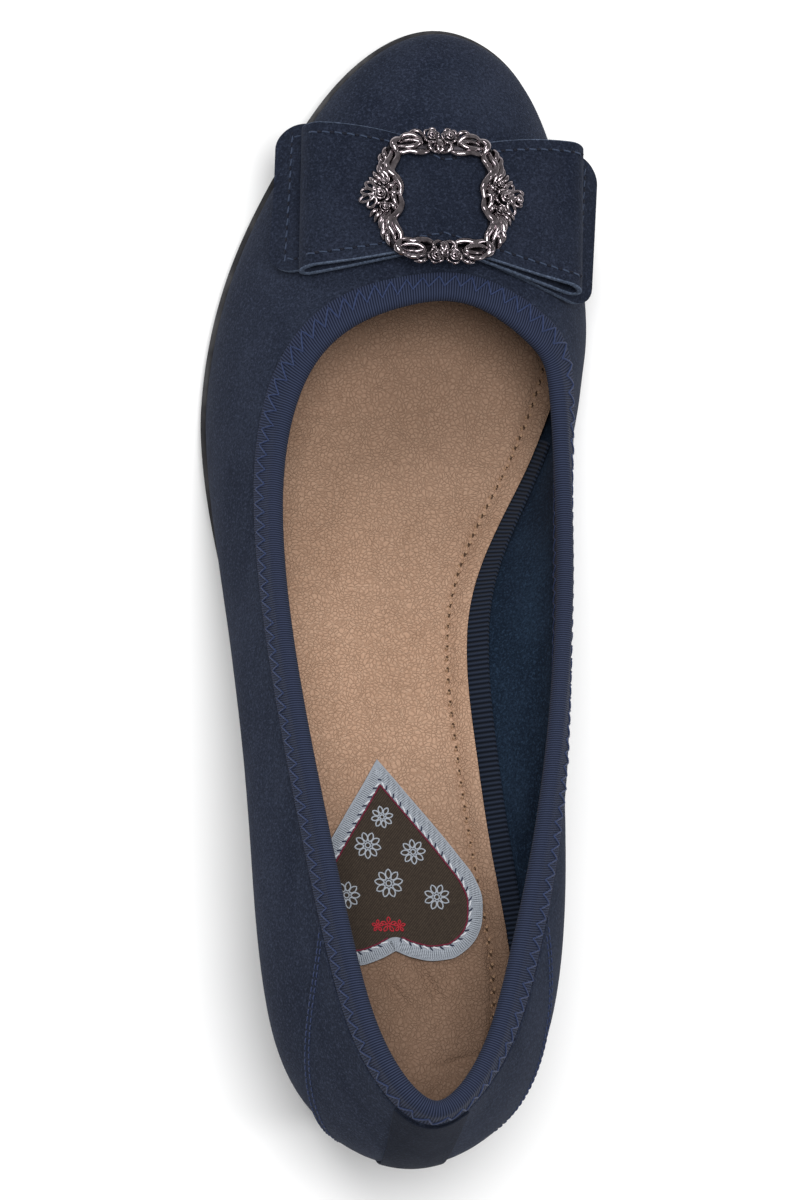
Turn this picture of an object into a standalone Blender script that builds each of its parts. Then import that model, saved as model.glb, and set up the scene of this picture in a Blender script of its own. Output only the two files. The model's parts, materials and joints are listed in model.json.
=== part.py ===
"""Left dirndl pump in navy suede: round toe, low block heel, elastic topline, bow and ornamental buckle.

Metres, +Z up. The toe points along +Y, the inner side of the foot along +X, and the shoe stands on Z = 0.
One closed wall function, read by wall_point, gives the upper and everything that lies on it.
"""

import math
from collections import namedtuple

import bmesh
import bpy
import numpy as np
from mathutils import Matrix, Vector

# Last and shoe
LENGTH = 0.246  # lasting edge seen from above, heel back to toe tip
BALL_WIDTH = 0.081  # lasting edge across the ball
HEEL_LIFT = 0.040  # how far the seat stands above the forefoot
BACK_HEIGHT = 0.056  # topline above the seat at the heel back
TOE_SPRING = 0.008
SPRING_CURVE = 1.8  # how late the toe spring rises
WALL = 0.0018  # suede and lining together
CLEARANCE = 0.0003  # between pieces that meet

# Sole and heel
SOLE_THICKNESS = 0.0035
WAIST_SOLE_THICKNESS = 0.0024
SOLE_MARGIN = 0.0012  # how far the sole's edge stands past the lasting edge at the ball
SOLE_EDGE_TAPER = 0.0010
HEEL_LENGTH = 0.050
HEEL_INSET = 0.0008  # heel block's top behind the sole's edge
HEEL_TAPER = 0.0055  # each side of the heel draws in by this much down to its lift
HEEL_RAKE = 0.0060  # how far the back leans forward
BREAST_RAKE = 0.0036  # how far the breast leans back
BREAST_FLATNESS = 6
BREAST_HOLLOW = 0.0030
LIFT_THICKNESS = 0.0050

# Insole, tape and patch
INSOLE_THICKNESS = 0.0040
INSOLE_CUP = 0.0020  # rise of the insole's rim
INSOLE_GAP = 0.0007  # between the insole's rim and the tape
INSOLE_FOOT_INSET = 0.0050  # insole's lower edge inside the lasting edge
CUP_END = 0.40  # share of the ball width below which the insole's ends turn up as well
ARCH_RISE = 0.0025  # extra rise of the rim at the inner waist
ARCH_MIDDLE = 0.42  # shares of the length
ARCH_SPREAD = 0.14
TAPE_THICKNESS = 0.0008
TAPE_LAP = 0.0030  # how far the tape reaches down behind the insole's rim
TAPE_SHOW = 0.0028  # how far it stands above the rim
TAPE_END = 0.63  # share of the length where the tape ends on both sides
PATCH_LENGTH = 0.0445
PATCH_WIDTH = 0.0395
PATCH_THICKNESS = 0.0008
PATCH_ALONG = 0.249  # share of the length, to the middle of the patch
PATCH_ACROSS = -0.050  # share of the ball width
PATCH_TURN = 3.8

# Topline binding, rear panel and back strip
BINDING_THICKNESS = 0.0008
BINDING_OUTSIDE = 0.0065
BINDING_INSIDE = 0.0050
PANEL_THICKNESS = 0.0007
PANEL_TOP = 0.060  # panel's half width along the lasting edge, read at the topline
PANEL_FOOT = 0.015
PANEL_CURVE = 1.6  # how late the panel widens
BINDING_SHOULDER = 0.9  # height of the fold's corners over the topline, in its own outer distance
BINDING_CROWN = 1.25  # and of the fold's middle
OVERLAY_GAP = 0.0005  # between an overlay and the wall it lies on
STRIP_THICKNESS = 0.0007
STRIP_WIDTH = 0.0145
OVERLAY_FOOT = 0.0012  # how far the overlays stop short of the sole

# Bow
BOW_ALONG = 0.834  # share of the length, to the middle of the bow
BOW_ACROSS = 0.108  # share of the ball width
BOW_TURN = -3.4
BOW_LENGTH = 0.0640  # fold to fold, seen from above
BOW_END_HEIGHT = 0.0338
BOW_MIDDLE_HEIGHT = 0.0222
BOW_DROP = 0.0090  # how far the folds hang below the middle
LEATHER = 0.0012  # the bow's bands
LOOP_GAP = 0.0042  # between the two layers of a loop
LOOP_CURVE = 1.3  # how late the layers part
PINCH = 1.6  # how quickly the bands widen from their middle
TAIL_LENGTH = 0.0704
TAIL_END_HEIGHT = 0.0352
TAIL_SIDE = 0.0004  # middle of the tails from the bow's middle, towards the inner side
TAIL_UP = 0.0014  # and towards the toe
TAIL_TURN = -5.5
TAIL_DROP = 0.0135
TAIL_CORNER = 0.0055

# Buckle
WINDOW_WIDTH = 0.0197
WINDOW_HEIGHT = 0.0213
WINDOW_CORNER = 0.0020
BUCKLE_WIDTH = 0.0295  # without the flowers at its sides
BUCKLE_HEIGHT = 0.0302
BUCKLE_CORNER = 0.0100
BUCKLE_SIDE = -0.0009  # middle of the buckle from the bow's middle, towards the inner side
BUCKLE_UP = -0.0009  # and towards the toe
BUCKLE_THICKNESS = 0.0024
BUCKLE_SHOULDER = 0.6  # height of the frame's edges, in BUCKLE_THICKNESS
BOSS_MIDDLE = 0.62  # height of the flowers' middles, in BUCKLE_THICKNESS
BOSS_FOOT = 0.15  # and of their cut underside
ROSE_RADIUS = 0.0030
ROSE_RISE = 0.0024
ROSE_SPACING = 0.0058
BLOSSOM_RADIUS = 0.0043
BLOSSOM_OUT = 0.0026  # side flowers past the middle of the frame's edge

# How finely the pieces are faceted
COLUMNS = 84
ROWS = 10
ROW_CROWDING = 1.15  # rows lie closer together towards the topline
STATIONS = 40

# Ribs of the upper, from the heel back round the outer side to the toe and back along the inner side.
# along and top_along are shares of LENGTH, across and top_across shares of BALL_WIDTH.
# reach is a share of the way from topline to lasting edge, seen from above. The rest are shares of BACK_HEIGHT.
Rib = namedtuple("Rib", "place along across top_along top_across top_up flare rise reach crown fall")
RIBS = (
    Rib("heel back", 0.000, -0.012, 0.021, -0.042, 1.00, 0.16, 0.28, 0.00, 0.09, 0.40),
    Rib("outer heel corner", 0.034, -0.245, 0.061, -0.172, 0.95, 0.14, 0.28, 0.00, 0.09, 0.38),
    Rib("outer heel side", 0.144, -0.358, 0.153, -0.258, 0.84, 0.18, 0.26, 0.00, 0.10, 0.34),
    Rib("outer seat front", 0.285, -0.375, 0.284, -0.318, 0.69, 0.20, 0.24, 0.00, 0.08, 0.28),
    Rib("outer waist", 0.455, -0.410, 0.455, -0.372, 0.63, 0.16, 0.22, 0.00, 0.06, 0.24),
    Rib("outer ball", 0.629, -0.466, 0.606, -0.353, 0.62, 0.06, 0.22, 0.10, 0.08, 0.17),
    Rib("small toe", 0.763, -0.409, 0.684, -0.277, 0.64, 0.05, 0.22, 0.30, 0.05, 0.11),
    Rib("outer toe side", 0.896, -0.224, 0.731, -0.136, 0.67, 0.05, 0.23, 0.44, 0.03, 0.09),
    Rib("outer toe corner", 0.976, -0.030, 0.749, 0.006, 0.685, 0.05, 0.24, 0.48, 0.01, 0.08),
    Rib("toe tip", 1.000, 0.146, 0.754, 0.110, 0.69, 0.05, 0.24, 0.50, 0.00, 0.07),
    Rib("inner toe corner", 0.978, 0.326, 0.748, 0.212, 0.685, 0.05, 0.24, 0.48, 0.01, 0.08),
    Rib("inner toe side", 0.888, 0.480, 0.721, 0.346, 0.665, 0.05, 0.23, 0.42, 0.03, 0.09),
    Rib("inner ball", 0.722, 0.552, 0.674, 0.434, 0.63, 0.06, 0.23, 0.20, 0.07, 0.15),
    Rib("inner joint", 0.599, 0.402, 0.592, 0.441, 0.61, 0.10, 0.22, 0.00, 0.07, 0.22),
    Rib("inner waist", 0.467, 0.200, 0.479, 0.417, 0.62, 0.07, 0.22, 0.00, 0.05, 0.28),
    Rib("inner arch", 0.340, 0.195, 0.345, 0.348, 0.68, 0.10, 0.22, 0.00, 0.17, 0.30),
    Rib("inner seat front", 0.243, 0.235, 0.245, 0.279, 0.755, 0.16, 0.23, 0.00, 0.29, 0.32),
    Rib("inner heel side", 0.146, 0.285, 0.150, 0.202, 0.84, 0.18, 0.25, 0.00, 0.30, 0.34),
    Rib("inner heel corner", 0.034, 0.205, 0.056, 0.090, 0.95, 0.16, 0.28, 0.00, 0.15, 0.38),
)

# How the bed of the shoe rises from the ball to the seat, in shares of LENGTH and HEEL_LIFT.
Bed = namedtuple("Bed", "along rise")
BED = (
    Bed(0.00, 1.00),
    Bed(0.12, 0.975),
    Bed(0.22, 0.925),
    Bed(0.32, 0.80),
    Bed(0.42, 0.57),
    Bed(0.52, 0.30),
    Bed(0.60, 0.105),
    Bed(0.665, 0.00),
    Bed(0.77, 0.00),
    Bed(1.00, 0.00),
)
SPRING_START = 0.77  # share of LENGTH where the toe begins to lift
WAIST_START = 0.60  # share of LENGTH where the sole is at its full thickness
WAIST_END = 0.45

# One half of the heart, from its tip to its notch, in shares of half its width and of its length.
Heart = namedtuple("Heart", "across along")
HEART = (
    Heart(0.000, 0.000),
    Heart(0.336, 0.210),
    Heart(0.600, 0.375),
    Heart(0.790, 0.500),
    Heart(0.932, 0.605),
    Heart(1.000, 0.715),
    Heart(0.982, 0.812),
    Heart(0.910, 0.895),
    Heart(0.775, 0.957),
    Heart(0.604, 0.994),
    Heart(0.412, 1.000),
    Heart(0.172, 0.975),
    Heart(0.000, 0.940),
)

# Plain colours for the pieces
Finish = namedtuple("Finish", "colour roughness metallic")
FINISHES = {
    "suede": Finish((0.026, 0.032, 0.052), 0.95, 0.0),
    "elastic": Finish((0.028, 0.034, 0.060), 0.85, 0.0),
    "ribbon": Finish((0.012, 0.017, 0.032), 0.80, 0.0),
    "insole leather": Finish((0.40, 0.26, 0.17), 0.60, 0.0),
    "patch cloth": Finish((0.075, 0.045, 0.030), 0.85, 0.0),
    "sole rubber": Finish((0.020, 0.020, 0.024), 0.55, 0.0),
    "dark metal": Finish((0.16, 0.14, 0.14), 0.25, 1.0),
}


def monotone(x, xs, ys):
    """A smooth curve through a table that never passes its rows and stays flat between equal ones."""
    xs, ys = np.asarray(xs, float), np.asarray(ys, float)
    step = np.diff(xs)
    slope = np.diff(ys) / step
    tangent = np.zeros_like(ys)
    tangent[0], tangent[-1] = slope[0], slope[-1]
    same_way = slope[1:] * slope[:-1] > 0
    both = slope[1:] + slope[:-1]
    tangent[1:-1][same_way] = (2 * slope[1:] * slope[:-1])[same_way] / both[same_way]
    x = np.clip(np.asarray(x, float), xs[0], xs[-1])
    i = np.clip(np.searchsorted(xs, x, side="right") - 1, 0, len(step) - 1)
    t = (x - xs[i]) / step[i]
    rise = ys[i + 1] - ys[i]
    start, end = tangent[i] * step[i], tangent[i + 1] * step[i]
    return ys[i] + t * start + t**2 * (3 * rise - 2 * start - end) + t**3 * (start + end - 2 * rise)


def closed_spline(knots, values, at):
    """A smooth closed curve through values at knots, which run from 0 to less than 1, read at `at`."""
    n = len(knots)
    step = np.diff(np.append(knots, 1.0))
    slope = (np.roll(values, -1, axis=0) - values) / step[:, None]
    system = np.zeros((n, n))
    for i in range(n):
        before = step[i - 1]
        system[i, i - 1] = before
        system[i, i] = 2 * (before + step[i])
        system[i, (i + 1) % n] = step[i]
    bend = np.linalg.solve(system, 6 * (slope - np.roll(slope, 1, axis=0)))
    u = np.mod(at, 1.0)
    i = np.clip(np.searchsorted(knots, u, side="right") - 1, 0, n - 1)
    j = (i + 1) % n
    h = step[i][..., None]
    t = u[..., None] - knots[i][..., None]
    linear = slope[i] - h * (2 * bend[i] + bend[j]) / 6
    return values[i] + t * (linear + t * (bend[i] / 2 + t * (bend[j] - bend[i]) / (6 * h)))


def bed_height(y):
    """Height of the sole's upper face at a distance y from the heel back."""
    along = np.asarray(y, float) / LENGTH
    rise = monotone(along, [row.along for row in BED], [row.rise for row in BED])
    spring = np.clip((along - SPRING_START) / (1 - SPRING_START), 0, None)
    return SOLE_THICKNESS + HEEL_LIFT * rise + TOE_SPRING * spring**SPRING_CURVE


def rib_table():
    """The ribs in metres: lasting edge, its handle, the topline's handle and topline, 3 columns each."""
    foot = np.array([(r.across * BALL_WIDTH, r.along * LENGTH, 0) for r in RIBS])
    top = np.array([(r.top_across * BALL_WIDTH, r.top_along * LENGTH, 0) for r in RIBS])
    foot[:, 2] = bed_height(foot[:, 1]) + CLEARANCE
    top[:, 2] = bed_height(top[:, 1]) + np.array([r.top_up for r in RIBS]) * BACK_HEIGHT
    round_foot = np.roll(foot, -1, axis=0) - np.roll(foot, 1, axis=0)
    outward = np.stack([-round_foot[:, 1], round_foot[:, 0], 0 * round_foot[:, 0]], axis=1)
    outward /= np.linalg.norm(outward, axis=1)[:, None]
    up = np.array([0, 0, BACK_HEIGHT])
    low = foot + outward * [[r.flare * BACK_HEIGHT] for r in RIBS] + up * [[r.rise] for r in RIBS]
    plan = (foot - top) * [1, 1, 0]
    high = top + plan * [[r.reach] for r in RIBS] - up * [[r.fall] for r in RIBS]
    high += outward * [[r.crown * BACK_HEIGHT] for r in RIBS]
    return np.concatenate([foot, low, high, top], axis=1)


RIB_TABLE = rib_table()
RIB_STEPS = np.linalg.norm(np.diff(RIB_TABLE[:, :2], axis=0, append=RIB_TABLE[:1, :2]), axis=1)
GIRTH = RIB_STEPS.sum()
RIB_KNOTS = np.concatenate([[0.0], np.cumsum(RIB_STEPS)[:-1]]) / GIRTH


def wall_middle(u, v):
    """The wall's outer face at u round the shoe, 0 at the heel back, and v from lasting edge to topline."""
    u, v = np.broadcast_arrays(np.asarray(u, float), np.asarray(v, float))
    foot, low, high, top = np.split(closed_spline(RIB_KNOTS, RIB_TABLE, u), 4, axis=-1)
    on_bed = bed_height(foot[..., 1]) + CLEARANCE - foot[..., 2]
    foot[..., 2] += on_bed
    low[..., 2] += on_bed
    v = v[..., None]
    w = 1 - v
    return foot * w**3 + 3 * low * w**2 * v + 3 * high * w * v**2 + top * v**3


def wall_normal(u, v):
    """The wall's outward direction."""
    small = 1e-4
    round_shoe = wall_middle(u + small, v) - wall_middle(u - small, v)
    upwards = wall_middle(u, v + small) - wall_middle(u, v - small)
    normal = np.cross(upwards, round_shoe)
    return normal / np.linalg.norm(normal, axis=-1, keepdims=True)


def wall_point(u, v, offset=0.0):
    """A point `offset` outside the wall's outer face."""
    u, v = np.broadcast_arrays(np.asarray(u, float), np.asarray(v, float))
    return wall_middle(u, v) + wall_normal(u, v) * np.asarray(offset)[..., None]


def v_from(u, distance, top):
    """v at a distance along the wall, below the topline if top is set, else above the lasting edge."""
    steps = np.linspace(0, 1, 61)
    u, distance = np.broadcast_arrays(np.asarray(u, float), np.asarray(distance, float))
    found = np.empty(u.shape)
    for at in np.ndindex(u.shape):
        line = wall_middle(np.full(len(steps), u[at]), steps)
        gone = np.append(0, np.cumsum(np.linalg.norm(np.diff(line, axis=0), axis=1)))
        wanted = gone[-1] - distance[at] if top else distance[at]
        found[at] = np.interp(wanted, gone, steps)
    return found


def v_at(u, height, offset):
    """v where the surface `offset` outside the wall's outer face stands `height` above the lasting edge."""
    steps = np.linspace(0, 1, 61)
    u, height = np.broadcast_arrays(np.asarray(u, float), np.asarray(height, float))
    found = np.empty(u.shape)
    for at in np.ndindex(u.shape):
        up = wall_point(u[at], steps, offset)[:, 2] - wall_middle(u[at], 0.0)[2]
        found[at] = np.interp(height[at], up, steps)
    return found


ROUND = np.linspace(0, 1, 361)[:-1]


def lasting_edge(margin):
    """The lasting edge moved outwards by margin, seen from above."""
    edge = wall_middle(ROUND, 0 * ROUND)[:, :2]
    along = np.roll(edge, -1, axis=0) - np.roll(edge, 1, axis=0)
    outward = np.stack([-along[:, 1], along[:, 0]], axis=1)
    outward /= np.linalg.norm(outward, axis=1)[:, None]
    return edge + outward * margin


class Outline:
    """A closed line round the shoe seen from above, read as the x of its two sides at any y."""

    def __init__(self, edge):
        edge = np.roll(edge, -int(np.argmin(edge[:, 1])), axis=0)
        toe = int(np.argmax(edge[:, 1]))
        self.outer = edge[: toe + 1]
        self.inner = np.concatenate([edge[toe:], edge[:1]])[::-1]
        self.ends = edge[0, 1], edge[toe, 1]

    def sides(self, y):
        """x of the outer and of the inner side."""
        outer = np.interp(y, self.outer[:, 1], self.outer[:, 0])
        return outer, np.interp(y, self.inner[:, 1], self.inner[:, 0])


def stations(start, end, count=STATIONS):
    """Places from start to end, closer together at both ends."""
    return (start + end) / 2 - (end - start) / 2 * np.cos(np.linspace(0, math.pi, count + 1))


def material(name):
    """The named finish as a material, made once."""
    if name in bpy.data.materials:
        return bpy.data.materials[name]
    finish = FINISHES[name]
    made = bpy.data.materials.new(name)
    made.use_nodes = True
    shader = made.node_tree.nodes["Principled BSDF"]
    shader.inputs["Base Color"].default_value = (*finish.colour, 1.0)
    shader.inputs["Roughness"].default_value = finish.roughness
    shader.inputs["Metallic"].default_value = finish.metallic
    return made


def add_piece(name, mesh, finish):
    """A mesh as a named object of the shoe."""
    piece = bpy.data.objects.new(name, mesh)
    piece.data.materials.append(material(finish))
    bpy.data.collections["pump"].objects.link(piece)
    return piece


def loft(name, sections, finish, closed=False):
    """A solid through closed sections with equal numbers of points, capped at both ends unless closed."""
    made = bmesh.new()
    rings = [[made.verts.new(point) for point in section] for section in sections]
    pairs = list(zip(rings, rings[1:] + rings[:1])) if closed else list(zip(rings, rings[1:]))
    for ring, following in pairs:
        for i in range(len(ring)):
            j = (i + 1) % len(ring)
            made.faces.new((ring[i], ring[j], following[j], following[i]))
    if not closed:
        made.faces.new(rings[0][::-1])
        made.faces.new(rings[-1])
    bmesh.ops.remove_doubles(made, verts=made.verts, dist=1e-6)
    bmesh.ops.dissolve_degenerate(made, edges=made.edges, dist=1e-7)
    bmesh.ops.recalc_face_normals(made, faces=made.faces)
    if made.calc_volume(signed=True) < 0:
        bmesh.ops.reverse_faces(made, faces=made.faces)
    mesh = bpy.data.meshes.new(name)
    made.to_mesh(mesh)
    made.free()
    mesh.shade_smooth()
    mesh.set_sharp_from_angle(angle=math.radians(40))
    return add_piece(name, mesh, finish)


def round_shoe():
    """The columns of a piece that runs all the way round."""
    return np.linspace(0, 1, COLUMNS + 1)[:-1]


def upper():
    """The hollow upper: one wall from the lasting edge to the topline."""
    v = 1 - (1 - np.linspace(0, 1, ROWS + 1)) ** ROW_CROWDING
    sections = []
    for u in round_shoe():
        outside = wall_point(u, v)
        inside = wall_point(u, v, -WALL)
        inside[0, 2] = outside[0, 2]
        sections.append(np.concatenate([outside, inside[::-1]]))
    return loft("upper", sections, "suede", closed=True)


def topline_binding():
    """The elastic band folded over the topline, with a leg on each side of the wall."""
    outside = np.array([1.0, 0.5, 0.0]) * BINDING_OUTSIDE
    inside = np.array([0.0, 1.0]) * BINDING_INSIDE
    near, far = CLEARANCE, CLEARANCE + BINDING_THICKNESS
    sections = []
    for u in round_shoe():
        low, back = v_from(u, outside, top=True), v_from(u, inside, top=True)
        edge = wall_point(u, [1.0, 1.0])
        up = edge[0] - wall_point(u, 0.99)
        up /= np.linalg.norm(up)
        across = wall_normal(np.array([u]), np.array([1.0]))[0]
        cap = [
            edge[0] + up * far * BINDING_SHOULDER + across * near,
            edge[0] + up * far * BINDING_CROWN - across * WALL / 2,
            edge[0] + up * far * BINDING_SHOULDER - across * (WALL + near),
        ]
        roof = [
            edge[0] + up * near - across * (WALL + near),
            edge[0] + up * near + across * near,
        ]
        sections.append(
            np.concatenate([
                wall_point(u, low, far),
                cap,
                wall_point(u, back, -(WALL + far)),
                wall_point(u, back[:0:-1], -(WALL + near)),
                roof,
                wall_point(u, low[-2::-1], near),
            ])
        )
    return loft("topline_binding", sections, "elastic", closed=True)


def patch_on_wall(name, left, right, near, far, finish, columns, rows=8):
    """An overlay on the wall from u = left(share) to u = right(share), where share is 0 at the foot."""
    share = np.linspace(0, 1, rows + 1)
    sections = []
    for across in np.linspace(0, 1, columns + 1):
        u = left(share) * (1 - across) + right(share) * across
        start = v_from(u, OVERLAY_FOOT, top=False)
        end = v_from(u, BINDING_OUTSIDE + CLEARANCE, top=True)
        v = start + (end - start) * share
        sections.append(np.concatenate([wall_point(u, v, far), wall_point(u, v, near)[::-1]]))
    return loft(name, sections, finish)


def rear_panel():
    """The counter panel round the heel, wider at the topline than at the sole."""
    def half(share):
        return (PANEL_FOOT + (PANEL_TOP - PANEL_FOOT) * share**PANEL_CURVE) / GIRTH

    near, far = OVERLAY_GAP, OVERLAY_GAP + PANEL_THICKNESS
    return patch_on_wall("rear_panel", lambda s: -half(s), half, near, far, "suede", columns=20)


def back_strip():
    """The narrow strip over the back seam, as wide at the topline as at the sole."""
    near = 2 * OVERLAY_GAP + PANEL_THICKNESS

    def half(share):
        small = 1e-3
        step = wall_middle(small, share) - wall_middle(-small, share)
        return STRIP_WIDTH * small / np.linalg.norm(step, axis=-1)

    return patch_on_wall(
        "back_strip", lambda s: -half(s), half, near, near + STRIP_THICKNESS, "suede", columns=6
    )


def plate(name, outline, low_outline, bottom, top, finish, across=4, count=STATIONS):
    """A solid between two outlines, its upper and its lower one.

    bottom and top are functions of y and of the share across, 0 at the outer side.
    """
    share = np.linspace(0, 1, across + 1)
    sections = []
    for y, low_y in zip(stations(*outline.ends, count), stations(*low_outline.ends, count)):
        outer, inner = outline.sides(y)
        low_outer, low_inner = low_outline.sides(low_y)
        upper_face = [(outer + (inner - outer) * s, y, top(y, s)) for s in share]
        lower_face = [(low_outer + (low_inner - low_outer) * s, low_y, bottom(low_y, s)) for s in share]
        sections.append(upper_face + lower_face[::-1])
    return loft(name, sections, finish)


def sole_underside(y, share=0.5):
    """The sole's lower face: thin under the waist and seat, and flat on the floor under the ball."""
    along = np.asarray(y, float) / LENGTH
    full = np.clip((along - WAIST_END) / (WAIST_START - WAIST_END), 0, 1)
    full = full * full * (3 - 2 * full)
    return bed_height(y) - WAIST_SOLE_THICKNESS - (SOLE_THICKNESS - WAIST_SOLE_THICKNESS) * full


def outsole():
    """The sole from toe to heel, its edge drawn in a little underneath."""
    return plate(
        "outsole",
        Outline(lasting_edge(SOLE_MARGIN)),
        Outline(lasting_edge(SOLE_MARGIN - SOLE_EDGE_TAPER)),
        sole_underside,
        lambda y, s: bed_height(y),
        "sole rubber",
    )


def arch_rise(y):
    """The extra rise of the insole's rim at the inner waist."""
    return ARCH_RISE * np.exp(-(((y / LENGTH - ARCH_MIDDLE) / ARCH_SPREAD) ** 2))


def rim_height(u):
    """Height of the insole's rim above the lasting edge."""
    y = wall_middle(u, 0 * u)[:, 1]
    side = np.clip((u - 0.5) * 8, 0, 1) * np.clip((1 - u) * 8, 0, 1)
    return INSOLE_THICKNESS + INSOLE_CUP + arch_rise(y) * side


def insole_outlines():
    """The insole's rim and its lower edge, clear of the tape and the wall."""
    inside = WALL + OVERLAY_GAP + TAPE_THICKNESS + INSOLE_GAP
    rim = wall_point(ROUND, v_at(ROUND, rim_height(ROUND), -inside), -inside)
    return Outline(rim[:, :2]), Outline(lasting_edge(-INSOLE_FOOT_INSET))


INSOLE_RIM, INSOLE_FOOT = insole_outlines()


def insole_top(y, share):
    """The insole's upper face: padded, cupped at its rim, and raised along the inner waist."""
    outer, inner = INSOLE_RIM.sides(y)
    hollow = np.clip((inner - outer) / (CUP_END * BALL_WIDTH), 0, 1)
    rim = 1 - (1 - np.abs(2 * share - 1) ** 4) * hollow * (2 - hollow)
    arch = arch_rise(y) * np.clip(2 * share - 1, 0, 1) ** 3
    return bed_height(y) + CLEARANCE + INSOLE_THICKNESS + INSOLE_CUP * rim + arch


def insole():
    """The padded sock with its moulded rim."""
    return plate(
        "insole",
        INSOLE_RIM,
        INSOLE_FOOT,
        lambda y, s: bed_height(y) + CLEARANCE,
        insole_top,
        "insole leather",
        across=8,
        count=32,
    )


def insole_height(x, y):
    """Height of the insole's upper face at a place seen from above."""
    outer, inner = INSOLE_RIM.sides(y)
    return insole_top(y, np.clip((x - outer) / (inner - outer), 0, 1))


def side_tape():
    """The ribbed tape over the seam between insole and wall, from the ball round the heel to the ball."""
    y = wall_middle(ROUND, 0 * ROUND)[:, 1]
    outer_end = ROUND[np.argmax(y > TAPE_END * LENGTH)]
    inner_end = ROUND[len(y) - 1 - np.argmax(y[::-1] > TAPE_END * LENGTH)] - 1
    near, far = WALL + OVERLAY_GAP, WALL + OVERLAY_GAP + TAPE_THICKNESS
    sections = []
    for u in np.linspace(inner_end, outer_end, 60):
        rim = rim_height(np.array([np.mod(u, 1)]))[0]
        v = v_at(u, rim + np.linspace(-TAPE_LAP, TAPE_SHOW, 4), -near)
        sections.append(np.concatenate([wall_point(u, v, -near), wall_point(u, v, -far)[::-1]]))
    return loft("side_tape", sections, "ribbon")


def heart_outline(count=44):
    """A heart that points along +Y, one unit wide and one unit long, round its own middle."""
    rows = np.array(HEART) * (0.5, 1.0)
    gone = np.append(0, np.cumsum(np.linalg.norm(np.diff(rows, axis=0), axis=1)))
    at = np.linspace(0, gone[-1], count // 2 + 1)
    x, y = monotone(at, gone, rows[:, 0]), 0.5 - monotone(at, gone, rows[:, 1])
    return np.append(x, -x[-2:0:-1]), np.append(y, y[-2:0:-1])


def heel_patch():
    """The heart of cloth sewn on the insole at the heel."""
    x, y = heart_outline()
    turn = math.radians(PATCH_TURN)
    x, y = x * PATCH_WIDTH, y * PATCH_LENGTH
    x, y = x * math.cos(turn) - y * math.sin(turn), x * math.sin(turn) + y * math.cos(turn)
    rings = (0.0, 0.35, 0.7, 1.0)
    middle = PATCH_ACROSS * BALL_WIDTH, PATCH_ALONG * LENGTH
    sections = []
    for px, py in zip(x, y):
        places = [(middle[0] + px * r, middle[1] + py * r) for r in rings]
        under = [(a, b, insole_height(a, b) + CLEARANCE) for a, b in places]
        over = [(a, b, z + PATCH_THICKNESS) for a, b, z in under]
        sections.append(over + under[::-1])
    return loft("heel_patch", sections, "patch cloth", closed=True)


def heel_block():
    """The block heel: it follows the seat above, and tapers and rakes forward down to its lift."""
    outline = Outline(lasting_edge(SOLE_MARGIN - SOLE_EDGE_TAPER - HEEL_INSET))
    back = outline.ends[0]
    floor = LIFT_THICKNESS + CLEARANCE
    levels = np.array([0.0, 0.15, 0.4, 0.7, 1.0])  # 0 at the seat, 1 at the lift
    centre = np.mean(outline.sides(back + HEEL_LENGTH * 0.6))
    sections = []
    for place in 1 - np.cos(np.linspace(0, math.pi / 2, 15)):
        y = back + HEEL_LENGTH * place
        outer, inner = outline.sides(y)
        seat = sole_underside(y) - CLEARANCE
        sides = {}
        drawn = 1 - levels**0.8 * HEEL_TAPER / (HEEL_LENGTH / 2)
        hollow = BREAST_HOLLOW * np.sin(levels * math.pi) * place**BREAST_FLATNESS
        level_y = y + HEEL_RAKE * levels * (1 - place) - BREAST_RAKE * levels * place - hollow
        level_z = seat + (floor - seat) * levels
        for side, x in (("outer", outer), ("inner", inner)):
            sides[side] = np.stack([centre + (x - centre) * drawn, level_y, level_z], axis=1)
        sections.append(np.concatenate([sides["outer"], sides["inner"][::-1]]))
    return loft("heel", sections, "suede"), [section[len(levels) - 1] for section in sections], [
        section[len(levels)] for section in sections
    ]


def top_lift(outer_line, inner_line):
    """The heel's rubber lift, the shape of the block's foot and flat on the floor."""
    sections = []
    for outer, inner in zip(outer_line, inner_line):
        top = LIFT_THICKNESS
        sections.append([
            (outer[0], outer[1], top),
            (outer[0], outer[1], 0),
            (inner[0], inner[1], 0),
            (inner[0], inner[1], top),
        ])
    return loft("heel_lift", sections, "sole rubber")


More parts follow.
